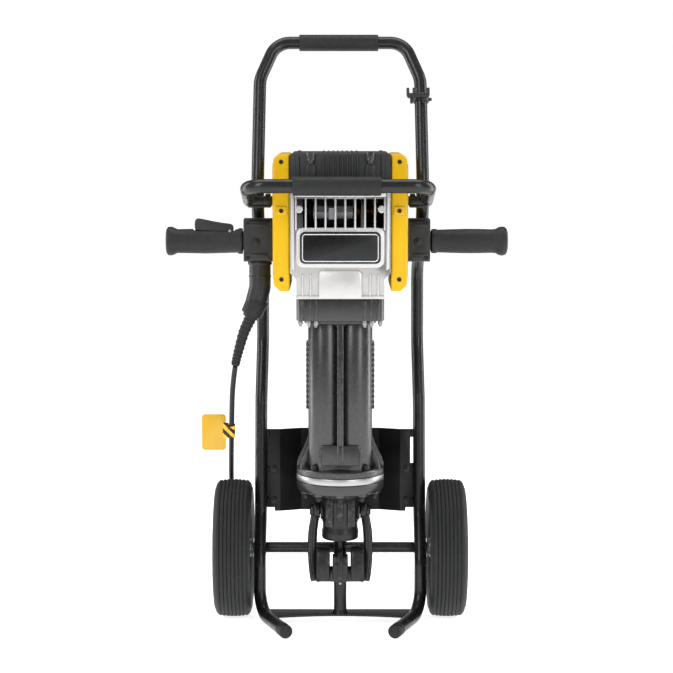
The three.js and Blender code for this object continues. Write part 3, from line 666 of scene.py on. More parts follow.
# ---- Truck ------------------------------------------------------------------------------------
@dataclass
class Truck:
    """The two bent side tubes, the carrying loop, the back panel, the toe plate and the axle."""

    tube: float = 11.5
    foot: Point = (97, -106, 13.3)
    side_run: tuple[Point, ...] = (
        (148, 28, 15), (148, 28, 112), (147.5, 80, 188), (146.4, 98, 400), (144.8, 150, 500),
        (144.3, 152, 640)
    )
    side_bends: tuple[float, ...] = (45, 40, 40, 60, 60, 50)
    loop_run: tuple[Point, ...] = ((148.7, 38, 745), (148.7, 38, 815), (146.5, 103, 990), (117, 128, 1057))
    loop_bends: tuple[float, ...] = (45, 60, 60, 38)
    joint_share: float = 0.45
    axle_y: float = 66
    axle_z: float = 127
    body: str = "cart"

    def joint(self, side: int, past: float = 0.0) -> Vector:
        """A point on the leaning stretch behind the handles.

        Args:
            side: 1 for the right-hand tube, -1 for the left-hand one.
            past: how far above the joint between the tubes, in millimetres.

        Returns:
            The point.
        """
        low, high = Vector(self.side_run[-1]), Vector(self.loop_run[0])
        spot = low.lerp(high, self.joint_share) + (high - low).normalized() * past
        return Vector((side * spot.x, spot.y, spot.z))

    def build(self) -> None:
        """Makes every piece of the truck that doesn't roll."""
        for name, side in SIDES:
            self.upright(name, side)
            self.foot_cap(name, side)
            self.axle_hardware(name, side)
        self.loop()
        self.top_grip()
        self.axle()
        self.panel()
        self.toe_plate()
        self.peg()
        self.cord_hook()

    def upright(self, name: str, side: int) -> None:
        """One side tube, from its foot to the joint behind the handles, with its weld to the axle.

        Args:
            name: left or right.
            side: -1 for left, 1 for right.
        """
        corners = [(side * x, y, z) for x, y, z in (self.foot, *self.side_run)]
        shape = Solid()
        shape.pipe(filleted([*corners, tuple(self.joint(side))], self.side_bends), self.tube)
        self.weld(shape, (side * 148, 53.5, 127), (side * 148, 58.5, 120), 5.0)
        shape.finish(f"upright_tube_{name}", self.body, POWDER_COAT, [f"upright_{name}"])

    def weld(self, shape: Solid, start: Point, end: Point, radius: float) -> None:
        """A short run of overlapping weld ripples.

        Args:
            shape: the solid that gets them.
            start: the first ripple's middle.
            end: the last ripple's middle.
            radius: the weld's radius.
        """
        start, end = Vector(start), Vector(end)
        for k in range(5):
            spot = start.lerp(end, k / 4)
            shape.rod(spot - Vector((6, 0, 0)), spot + Vector((6, 0, 0)), radius * 0.6, soft=1.2, sides=12)

    def foot_cap(self, name: str, side: int) -> None:
        """The rubber cap on the foot's end, turned to face along the foot.

        Args:
            name: left or right.
            side: -1 for left, 1 for right.
        """
        end = Vector((side * self.foot[0], *self.foot[1:]))
        first = Vector((side * self.side_run[0][0], *self.side_run[0][1:]))
        inward = (first - end).normalized()
        shape = Solid()
        profile = [(0, -5), (8.5, -5), (11.2, -3.6), (12.5, -1), (12.5, 15), (12, 16), (12.5, 17), (12.5, 20),
                   (11.6, 21), (11.6, 0), (0, 0)]
        made = Solid()
        made.turned(profile, Axis.Z, sides=32)
        turn = Vector((0, 0, 1)).rotation_difference(inward).to_matrix().to_4x4()
        shape.take(made.mesh, Matrix.Translation(end) @ turn)
        shape.finish(f"foot_cap_rubber_{name}", self.body, SLEEVE_RUBBER, [f"foot_cap_{name}"])

    def axle_hardware(self, name: str, side: int) -> None:
        """The washers between tube and hub, and the cap nut in the wheel's dish.

        Args:
            name: left or right.
            side: -1 for left, 1 for right.
        """
        def across(value: float) -> Point:
            """A point on the axle's line, value millimetres out."""
            return (side * value, self.axle_y, self.axle_z)

        washers = Solid()
        for start, end, radius in ((160.3, 162.2, 18), (162.4, 165.2, 14.5), (165.4, 167.6, 17)):
            washers.rod(across(start), across(end), radius, soft=0.4)
        washers.finish(f"axle_washers_{name}", self.body, ZINC_SCREW, [f"wheel_spacer_{name}"])
        nut = Solid()
        nut.rod(across(214.4), across(216), 16, soft=0.3)
        nut.rod(across(216), across(224), 14, soft=0.8, sides=6)
        nut.rod(across(223.5), across(228), 10.5, 6, soft=1.5)
        nut.finish(f"axle_cap_nut_{name}", self.body, ZINC_SCREW, [f"axle_nut_{name}"])

    def loop(self) -> None:
        """The carrying loop, with the swaged bands where it meets the side tubes."""
        right = [tuple(self.joint(1, 0.4)), *self.loop_run]
        left = [(-x, y, z) for x, y, z in reversed(right)]
        shape = Solid()
        shape.pipe(filleted([*right, *left], [*self.loop_bends, *reversed(self.loop_bends)]), self.tube)
        for _, side in SIDES:
            shape.rod(self.joint(side, 1), self.joint(side, 30), self.tube + 1.0, soft=0.8)
            middle = self.joint(side, 16)
            shape.rod(middle, middle + Vector((side * 15, 0, 0)), 4.5, soft=1.0, sides=16)
        shape.finish("carrying_loop", self.body, POWDER_COAT, ["handle_loop"])

    def top_grip(self) -> None:
        """The foam sleeve over the top of the loop."""
        bore, outer, start, end = self.tube + 0.2, 15.0, -75.0, 70.0
        edge = [(bore, start), (outer - 1.6, start), (outer - 0.5, start + 0.6), (outer, start + 2)]
        other = [(outer, end - 2), (outer - 0.5, end - 0.6), (outer - 1.6, end), (bore, end)]
        shape = Solid()
        _, y, z = self.loop_run[-1]
        shape.turned([*edge, *other], Axis.X, (0, y, z))
        shape.finish("top_grip_sleeve", self.body, SLEEVE_RUBBER, ["top_grip"])

    def axle(self) -> None:
        """The axle, chamfered at its ends."""
        shape = Solid()
        shape.rod((-221, self.axle_y, self.axle_z), (221, self.axle_y, self.axle_z), 10, soft=1.0)
        shape.finish("axle_bar", self.body, POWDER_COAT, ["axle"])

    def panel(self) -> None:
        """The folded sheet between the side tubes, its edge strips, its bolts and its welded tabs."""
        shape = Solid()
        shape.node("back_panel", soft=1.0, segments=3, least=12)
        for _, side in SIDES:
            for z in (271, 212, 339):
                shape.box((side * 134 - 3, side * 134 + 3), (86.5, 92.5), (z - 6, z + 6), soft=2)
        for side, low, high in ((-1, 198, 346), (1, 198, 282), (1, 331, 346)):
            shape.box((side * 134.7 - 2, side * 134.7 + 2), (88.2, 90.8), (low, high), soft=0.5)
        shape.finish("back_panel_sheet", self.body, PANEL_PAINT, ["back_panel"])
        bolts = Solid()
        for _, side in SIDES:
            for z in (271, 212):
                bolts.rod((side * 124, 88, z), (side * 124, 84.6, z), 6.4, soft=0.9, sides=24)
                bolts.rod((side * 124, 84.9, z), (side * 124, 82.6, z), 3.6, 3.0, soft=0.4, sides=6)
                bolts.rod((side * 124, 91, z), (side * 124, 96, z), 6, soft=0.6, sides=6)
        bolts.finish("panel_bolts", self.body, BLACK_SCREW)

    def toe_plate(self) -> None:
        """The plate between the feet, with a rolled front edge."""
        shape = Solid()
        shape.node("toe_plate", soft=1.2, segments=3, least=30)
        shape.finish("toe_plate_sheet", self.body, POWDER_COAT, ["toe_plate"])

    def peg(self) -> None:
        """The peg that the breaker's nose stands over, its weld and its cross pin."""
        shape = Solid()
        foot, top, radius = 20.2, 186, 11.8
        ripple = [(radius + 2.4 + 0.5 * math.cos(k * math.pi), foot + 1.5 * k) for k in range(4)]
        bar = [(radius, foot + 7), (radius, top - 6), (radius - 4, top), (0, top)]
        shape.turned([(0, foot), (15, foot), *ripple, *bar], Axis.Z)
        shape.finish("stowing_peg", self.body, POWDER_COAT, ["tool_peg"])
        pin = Solid()
        pin.rod((0, -11.4, 78), (0, -13.8, 78), 3.2, 2.4, soft=0.5, sides=20)
        pin.finish("peg_pin", self.body, ZINC_SCREW)

    def cord_hook(self) -> None:
        """The clamp band and horns on the right-hand tube that the cord is wound on."""
        low, high = Vector(self.loop_run[1]), Vector(self.loop_run[2])
        lean = Vector((0, 0, 1)).rotation_difference(high - low).to_matrix().to_4x4()
        made = Solid()
        made.turned([(11.6, -7), (14.2, -7), (15, -6), (15, 6), (14.2, 7), (11.6, 7)], Axis.Z, sides=40)
        made.slab(rounded((-26, 15), (-4.5, 4.5), 4, 4), Axis.Y, (-20, -13.6), soft=1.2)
        for x in (-24, -13, 13):
            made.pipe(
                [Vector((x, -17, 0)), Vector((x, -17, 8)), Vector((x, -18.5, 12)), Vector((x, -19, 14))],
                2.6, 12
            )
        for x in (-18, 4):
            made.pipe([Vector((x, -17, 0)), Vector((x, -17, -8)), Vector((x, -18, -15))], 2.4, 12)
        made.rod((14, 4, 0), (20, 4, 0), 3.4, soft=0.8, sides=6)
        shape = Solid()
        shape.take(made.mesh, Matrix.Translation(low.lerp(high, 0.8)) @ lean)
        shape.finish("cord_cleat", self.body, BLACK_NYLON, ["cord_hook"])


@dataclass
class Wheel:
    """A ribbed solid tyre on a pressed dish rim."""

    name: str
    side: int
    middle: float = 197
    radius: float = 127
    width: float = 68
    rim: float = 82
    ribs: int = 8
    axle_y: float = 66
    axle_z: float = 127

    @property
    def body(self) -> str:
        """The CAD body that rolls."""
        return f"wheel_{self.name}"

    @property
    def centre(self) -> Point:
        """The wheel's middle."""
        return (self.side * self.middle, self.axle_y, self.axle_z)

    def build(self) -> None:
        """Makes the tyre and the rim."""
        self.tyre()
        self.dish()

    def tread(self) -> list[Span]:
        """The crown's outline: flat ribs with grooves between them.

        Returns:
            (radius, height along the axle) points from the left to the right.
        """
        half, groove, deep = self.width / 2 - 6.4, 1.9, 2.4
        pitch = 2 * half / self.ribs
        outline: list[Span] = []
        for i in range(self.ribs):
            start, end = -half + i * pitch + groove / 2, -half + (i + 1) * pitch - groove / 2
            crown = self.radius - 2.6 * ((start + end) / 2 / half) ** 2
            outline += [(crown - 0.5, start), (crown, start + 0.7), (crown, end - 0.7), (crown - 0.5, end)]
            if i < self.ribs - 1:
                outline += [(crown - deep, end + 0.3), (crown - deep, end + groove - 0.3)]
        return outline

    def tyre(self) -> None:
        """The tyre, with a rounded shoulder and two raised rings on each wall."""
        half = self.width / 2
        wall = [(self.rim, 24), (84, 29), (88, 31.4), (92, half - 1.4), (94, half - 0.4), (96.5, half - 0.4),
                (98, half - 1.2), (104, half - 0.4), (109, half), (112, half - 0.1), (113, half - 1.2),
                (115, half - 1.4), (119, half - 2.6), (122, half - 4.8)]
        left = [(r, -h) for r, h in wall]
        right = list(reversed(wall))
        shape = Solid()
        shape.turned([*left, *self.tread(), *right], Axis.X, self.centre, sides=96)
        shape.finish(f"tyre_rubber_{self.name}", self.body, TYRE_RUBBER, [f"tyre_{self.name}"])

    def dish(self) -> None:
        """The rim: two flanges, a webbed disc and a hub with a grease boss."""
        seat, hub, bore = self.rim - 0.3, 21, 10.3
        profile = [
            (bore, -29), (hub - 2, -29), (hub, -27), (hub + 3, -6), (66, -4), (72, -20), (seat - 2, -23),
            (seat, -22), (seat, 22), (seat - 2, 23), (72, 20), (66, 4), (hub + 3, 6), (hub, 15.5),
            (hub - 1.5, 17), (bore, 17)
        ]
        if self.side < 0:
            profile = [(r, -h) for r, h in profile]
        shape = Solid()
        shape.turned(profile, Axis.X, self.centre, sides=72)
        spokes = 10
        for i in range(spokes):
            turn = Matrix.Rotation(2 * math.pi * i / spokes, 4, "X")
            made = Solid()
            for way in (-1, 1):
                made.box((way * 7 - 5.5, way * 7 + 5.5), (-2, 2), (hub, 71), soft=1.2)
            shape.take(made.mesh, Matrix.Translation(self.centre) @ turn)
        shape.finish(f"rim_dish_{self.name}", self.body, RIM_STEEL, [f"rim_{self.name}"])


# ---- Breaker casings --------------------------------------------------------------------------
@dataclass
class MotorCasing:
    """The silver motor housing with its black cap, yellow side covers and blank badge."""

    front: float = -95
    back: float = 100
    badge_low: float = 668
    badge_high: float = 724
    badge_half: float = 70.5
    body: str = "hammer"

    def build(self) -> None:
        """Makes the casings from the inside out."""
        self.housing()
        self.screws()
        self.badge()
        self.cap()
        for name, side in SIDES:
            self.side_cover(name, side)

    def housing(self) -> None:
        """The die-cast front, with ribs between the vents, a badge frame, steps and a lower pad."""
        shape = Solid()
        shape.node("motor_housing", soft=1.4, segments=2, least=20)
        front = self.front
        for i in range(10):
            x = (i - 4.5) * 17.2
            shape.box((x - 1.5, x + 1.5), (front - 3.2, front + 1), (726, 785), soft=1.2)
        shape.box((-80, 80), (front - 2.2, front + 1), (784, 797), soft=1.6)
        frame_outer = rounded((-77, 77), (661, 731), 13)
        shape.slab(frame_outer, Axis.Y, (front - 1.8, front + 1), soft=0.9)
        for _, side in SIDES:
            shape.slab([(side * 80, 655), (side * 86, 660), (side * 86, 792), (side * 80.5, 797)][::side],
                       Axis.Y, (front - 3, front + 1), soft=1.3)
        pad = [(-38, 607), (38, 607), (38, 652), (32, 657), (-32, 657), (-38, 652)]
        shape.slab(pad, Axis.Y, (front - 4, front + 1), soft=2)
        for _, side in SIDES:
            for x in (52, 66):
                shape.box((side * x - 2, side * x + 2), (front - 2.5, front + 1), (609, 650), soft=1.5)
        shape.box((-76, 76), (front - 3.4, front + 1), (606.5, 612), soft=1.5)
        for z in (640, 680, 720, 760):
            shape.box((-70, 70), (self.back - 1, self.back + 2.4), (z, z + 5), soft=1.4)
        shape.finish("motor_housing_casting", self.body, SILVER_CASTING, ["motor_housing"])

    def screws(self) -> None:
        """Screws in the bosses of the outer vents, at the lower corners and through the covers."""
        bosses = Solid()
        heads = Solid()
        for _, side in SIDES:
            bosses.rod((side * 72, self.front + 6, 763), (side * 72, self.front - 1.4, 763), 6.6, soft=1.0)
            screw_head(bosses, (side * 72, self.front - 1.2, 763), Axis.Y, -1, 4.6, 1.6)
            screw_head(heads, (side * 63, self.front - 4.5, 716), Axis.Y, -1, 2.2, 1.2)
            for z in (845, 760, 640):
                seat = self.front + (2.6 if z == 760 else 5.4)
                screw_head(heads, (side * 103, seat, z), Axis.Y, -1, 3.8, 2.4)
        bosses.finish("housing_screw_bosses", self.body, SILVER_CASTING)
        heads.finish("housing_screws", self.body, BLACK_SCREW)

    def badge(self) -> None:
        """A blank gloss plate with a raised pale border."""
        low, high, half = self.badge_low, self.badge_high, self.badge_half
        plate = Solid()
        plate.slab(
            rounded((-half, half), (low, high), 9), Axis.Y, (self.front - 4.6, self.front - 1.5), soft=1.1
        )
        plate.finish("badge_blank", self.body, BADGE_GLOSS, ["badge_plate"])
        line = Solid()
        corners = rounded((-half + 4.5, half - 4.5), (low + 4.5, high - 4.5), 6)
        run = [Vector((x, self.front - 4.7, z)) for x, z in [*corners, corners[0]]]
        line.pipe(run, 1.0, 8)
        line.finish("badge_border", self.body, BADGE_LINE)

    def cap(self) -> None:
        """The ribbed black cap, two arched bosses on its front and the clips that hold it."""
        shape = Solid()
        shape.node("top_cover", soft=1.6, segments=3, least=20)
        front = self.front
        for x in (-74, -30, -21, -12.5, -4, 4, 12.5, 21, 30, 74):
            wide = 3.2 if abs(x) > 40 else 1.7
            shape.box((x - wide, x + wide), (front - 3.2, front + 2), (804, 856), soft=1.4)
            shape.box((x - wide, x + wide), (front + 8, self.back - 8), (857, 861.6), soft=1.4)
        for _, side in SIDES:
            middle = side * 52
            arch = [
                (middle - 9, 803), (middle - 9, 832), *arc((middle, 834), 9, 180, 0, 8)[1:],
                (middle + 9, 803)
            ]
            shape.slab(arch[::-1], Axis.Y, (front - 4.5, front + 3), soft=1.6)
        shape.box((-84, 84), (front - 2.4, front + 1), (801, 806), soft=1.4)
        shape.finish("top_cap", self.body, BLACK_NYLON, ["top_cover"])
        clips = Solid()
        for _, side in SIDES:
            middle = side * 52
            clips.box((middle - 7, middle + 7), (front - 6, front + 10), (846, 862.5), soft=2)
            clips.box((middle - 4, middle + 4), (front - 8, front - 2), (841, 852), soft=1.6)
            clips.rod((middle, front - 4, 815), (middle, front - 5.6, 815), 5, soft=1, sides=24)
        clips.finish("cap_clips", self.body, CAST_PAINT)

    def side_cover(self, name: str, side: int) -> None:
        """One yellow cover: a round-cornered shell, raised louvres, a pad and a front tab.

        Args:
            name: left or right.
            side: -1 for left, 1 for right.
        """
        shape = Solid()
        outline = [(88.3, 619), (106, 619), *arc((110, 633), 7, -50, 0, 4), *arc((104, 845), 13, 0, 90, 8),
                   (88.3, 858)]
        shape.slab([(side * x, z) for x, z in outline][::side], Axis.Y, (-90, 100), soft=4, segments=4)
        for k in range(7):
            z = 700 + k * 17
            shape.box((side * 117 - 1.6, side * 117 + 1.6), (34, 88), (z, z + 6), soft=1.4)
        faces = sorted((side * 116, side * 118.6))
        shape.slab(rounded((-80, -36), (640, 842), 8), Axis.X, (faces[0], faces[1]), soft=1.2)
        shape.box((side * 103 - 10, side * 103 + 10), (-93, -88), (752, 768), soft=2)
        shape.finish(f"yellow_cover_{name}", self.body, YELLOW_ABS, [f"side_cover_{name}"])


@dataclass
class Barrel:
    """The percussion barrel: collar, finned double-lobed tube, silver damper ring, flange and nose."""

    bore: float = 28.4
    fins: int = 13
    fin_pitch: float = 9.4
    flange_bolts: int = 10
    bolt_circle: float = 66
    body: str = "hammer"

    def build(self) -> None:
        """Makes the barrel from the collar down."""
        self.tube()
        self.collar_bolts()
        self.ring()
        self.flange()
        self.nose()

    def tube(self) -> None:
        """The cast barrel: collar, twin-lobed tube with a front rib, fins, and the webbed flare."""
        shape = Solid()
        bore, sleeve = self.bore, self.bore + 1
        flare = [(bore, 282.4), (78, 282.4), (79, 283.5), (79, 292), (77.5, 294), (66, 295.5), (56, 299),
                 (48, 306), (44, 318), (44, 548), (57, 562), (57, 600), (bore, 600)]
        shape.turned(flare, Axis.Z, sides=96)
        collar, step = rounded((-77.6, 77.6), (-79, 80), 16, 8), rounded((-64, 64), (-66, 67), 26, 8)
        shape.slab(collar, Axis.Z, (565.5, 605.6), soft=1.6, segments=3, bore=sleeve)
        shape.slab(step, Axis.Z, (559, 567), soft=2.0, segments=3, bore=sleeve)
        for _, side in SIDES:
            for x in (43, 54, 67):
                shape.box((side * x - 2.4, side * x + 2.4), (-80.6, -76), (566.5, 604.6), soft=1.1)
        outside = [*arc((27, -24), 30.6, -150, 0, 24), *arc((27, 25), 30.6, 0, 150, 24)]
        lobe = [*outside, *arc((0, 0), sleeve, 88, -88, 20)]
        for _, side in SIDES:
            shape.slab([(side * x, y) for x, y in lobe][::side], Axis.Z, (284, 560), soft=0.8)
            for k in range(self.fins):
                z = 402 + k * self.fin_pitch
                shape.box((side * 56 - 5.5, side * 56 + 5.5), (-30, 30), (z, z + 4.4), soft=1.4)
        shape.box((-5, 5), (-57, -30), (300, 560), soft=1.2)
        for _, side in SIDES:
            shape.box((side * 4.4 - 1.4, side * 4.4 + 1.4), (-59.6, -54), (300, 560), soft=1.0)
        shape.box((-2.5, 2.5), (30, 58), (352, 560), soft=2)
        plate = [(-38, 284), (38, 284), (38, 332), (33, 340), (-33, 340), (-38, 332)]
        shape.slab(plate, Axis.Y, (-58, -36), soft=2.4, segments=3)
        shape.box((-38, 38), (-60.4, -54), (286, 304), soft=2)
        for _, side in SIDES:
            shape.box((side * 36 - 2.2, side * 36 + 2.2), (-60, -54), (298, 334), soft=1.6)
        web = [(36, 284), (77.6, 284), (78.2, 299), (75.5, 309), (69, 322), (62.5, 336), (58, 350), (55, 366),
               (36, 366)]
        for degrees in (0, 24, 156, 180, 204, 230, 270, 310, 336):
            made = Solid()
            made.slab(web, Axis.Y, (-3, 3), soft=1.8, segments=3)
            shape.take(made.mesh, Matrix.Rotation(math.radians(degrees) + math.pi, 4, "Z"))
        shape.finish("barrel_casting", self.body, CAST_PAINT, ["barrel_housing"])

    def collar_bolts(self) -> None:
        """Bright screws that hold the collar to the housing, and dark ones in the flare's pockets."""
        shape = Solid()
        for _, side in SIDES:
            for x, y in ((71, -60), (55, -72), (43, -74), (71, 0), (71, 60), (50, 72)):
                shape.rod((side * x, y, 567), (side * x, y, 557.5), 4.4, soft=0.8, sides=24)
                shape.rod((side * x, y, 558), (side * x, y, 554), 2.8, 2.4, soft=0.5, sides=16)
        shape.finish("collar_screws", self.body, ZINC_SCREW)
        pocket = Solid()
        for degrees in (-133, -47, 33, 70, 110, 147):
            x, y = 67 * math.cos(math.radians(degrees)), 67 * math.sin(math.radians(degrees))
            pocket.rod((x, y, 292), (x, y, 303), 6.0, soft=0.9, sides=24)
            pocket.rod((x, y, 302), (x, y, 304.4), 3.0, soft=0.4, sides=6)
        pocket.finish("flare_screws", self.body, BLACK_SCREW)

    def ring(self) -> None:
        """The bright ring over the damper, with eased edges."""
        shape = Solid()
        edge = [(22, 270), (77.2, 270), (78.4, 270.5), (78.8, 271.6), (78.8, 280.4), (78.4, 281.4),
                (77.2, 281.9), (22, 281.9)]
        shape.turned(edge, Axis.Z, sides=128)
        shape.finish("damper_ring_turned", self.body, RING_STEEL, ["damper_ring"])

    def flange(self) -> None:
        """The black flange under the ring: ten lobes, each with a bolt on a washer."""
        shape = Solid()
        profile = [
            (22, 251), (75, 251), (77, 252), (78, 254), (78.6, 258), (79, 262), (79, 268.5), (78, 269.6),
            (22, 269.6)
        ]
        shape.turned(profile, Axis.Z, sides=96)
        angles = [math.tau * (k + 0.5) / self.flange_bolts for k in range(self.flange_bolts)]
        for angle in angles:
            turn = Matrix.Rotation(angle, 4, "Z")
            made = Solid()
            made.rod((self.bolt_circle, 0, 247), (self.bolt_circle, 0, 262), 10, soft=2.0)
            shape.take(made.mesh, turn)
        shape.finish("lower_flange", self.body, CAST_PAINT, ["nose_flange"])
        bolts = Solid()
        for angle in angles:
            x, y = self.bolt_circle * math.cos(angle), self.bolt_circle * math.sin(angle)
            bolts.rod((x, y, 247.5), (x, y, 245.8), 8, soft=0.4)
            bolts.rod((x, y, 246), (x, y, 238.6), 5.6, soft=0.9, sides=24)
            bolts.rod((x, y, 239), (x, y, 236.5), 3.2, 2.8, soft=0.6, sides=6)
        bolts.finish("flange_bolts", self.body, BLACK_SCREW)

    def nose(self) -> None:
        """The tool holder's nose, with its trunnions, cheeks and round mouth."""
        shape = Solid()
        profile = [(16, 159), (29, 159), (32, 160.5), (33.5, 164), (33.5, 176), (32, 179), (32, 190),
                   (33.5, 193), (33.5, 230), (42, 240), (42, 250.5), (16, 250.5)]
        shape.turned(profile, Axis.Z, sides=64)
        for _, side in SIDES:
            shape.rod((side * 30, 0, 211), (side * 35.6, 0, 211), 17, soft=1.5)
            shape.rod((side * 33, 0, 211), (side * 54, 0, 211), 7, soft=0.8)
            shape.box((side * 20 - 7, side * 20 + 7), (-34.5, -22), (186, 240), soft=3)
        shape.box((-6, 6), (-37, -28), (196, 236), soft=3)
        shape.finish("tool_holder_nose", self.body, DARK_FORGING, ["nose_housing"])


@dataclass
class Retainer:
    """The forged swinging latch under the nose, hung on the nose's trunnions."""

    pivot_z: float = 211
    body: str = "tool_retainer"

    def build(self) -> None:
        """Makes the forging, with its cross barrel, two jaws and middle lug, and its hardware."""
        shape = Solid()
        for _, side in SIDES:
            self.arm(shape, side)
        shape.rod((-42, -31, 100), (42, -31, 100), 14.2, soft=2.6)
        jaw = [(-50, 96), (-50, 124), (-45, 140), (-38, 148), (-26, 150), (-18, 142), (-14, 120), (-16, 96),
               (-26, 88), (-40, 88)]
        for span in ((-44, -18.5), (18.5, 44)):
            shape.slab(jaw, Axis.X, span, soft=4.5, segments=4)
        lug = [(-49, 96), (-50, 122), (-44, 134), (-30, 138), (-18, 126), (-18, 92), (-28, 87), (-42, 87)]
        shape.slab(lug, Axis.X, (-14, 14), soft=2.6, segments=3)
        keel = [(-53, 100), (-52, 126), (-40, 142), (-26, 144), (-30, 100), (-44, 90)]
        shape.slab(keel, Axis.X, (-4.5, 4.5), soft=2)
        shape.finish("retainer_forging", self.body, DARK_FORGING, ["retainer"])
        hardware = Solid()
        for _, side in SIDES:
            hardware.rod(
                (side * 52.4, 0, self.pivot_z), (side * 55.4, 0, self.pivot_z), 8.4, soft=0.8, sides=24
            )
            hardware.rod((side * 40, -40, 93), (side * 40, -46.5, 93), 5.2, soft=0.8, sides=6)
        hardware.rod((9, -34, 152), (34, -26, 152), 3.2, soft=0.6, sides=20)
        hardware.finish("retainer_hardware", self.body, BLACK_SCREW)

    def arm(self, shape: Solid, side: int) -> None:
        """One bowed arm with its eye, thickest at its middle, and the ridge along its outer edge.

        Args:
            shape: the solid that gets it.
            side: -1 for left, 1 for right.
        """
        made = Solid()
        made.slab(arc((0, self.pivot_z), 15.5, 0, 360, 32)[:-1], Axis.X, (36.2, 48), soft=3, segments=3)
        made.slab(arc((0, self.pivot_z), 11.5, 0, 360, 32)[:-1], Axis.X, (47, 53), soft=1.2)
        bow = (
            (41, 4, 219), (45.5, -3, 200), (49.5, -9, 176), (50.5, -16, 152), (50, -24, 126),
            (48, -31, 100), (46.5, -33, 88)
        )
        line = smooth([Vector(p) for p in bow], 5)
        swell = [0.84 + 0.22 * math.sin(math.pi * k / (len(line) - 1)) for k in range(len(line))]
        made.pipe(line, 8.2, 24, swell)
        ridge = (
            (46, 0, 222), (51, -7, 200), (54.5, -14, 176), (55.5, -21, 152), (55, -29, 126), (52, -37, 100)
        )
        made.pipe(smooth([Vector(p) for p in ridge], 5), 3.0, 12)
        if side < 0:
            bmesh.ops.scale(made.mesh, vec=(-1, 1, 1), verts=made.mesh.verts)
            bmesh.ops.reverse_faces(made.mesh, faces=made.mesh.faces)
        shape.take(made.mesh)


def smooth(points: Sequence[Vector], between: int) -> list[Vector]:
    """A Catmull-Rom curve.

    Args:
        points: the points that it passes through.
        between: the steps from each point to the next.

    Returns:
        The points along it.
    """
    padded = [points[0] * 2 - points[1], *points, points[-1] * 2 - points[-2]]
    made: list[Vector] = []
    for a, b, c, d in zip(padded, padded[1:], padded[2:], padded[3:]):
        for k in range(between):
            t = k / between
            square, cube = 2 * a - 5 * b + 4 * c - d, 3 * b - a - 3 * c + d
            made.append(0.5 * (2 * b + (c - a) * t + square * t * t + cube * t**3))
    return [*made, points[-1]]


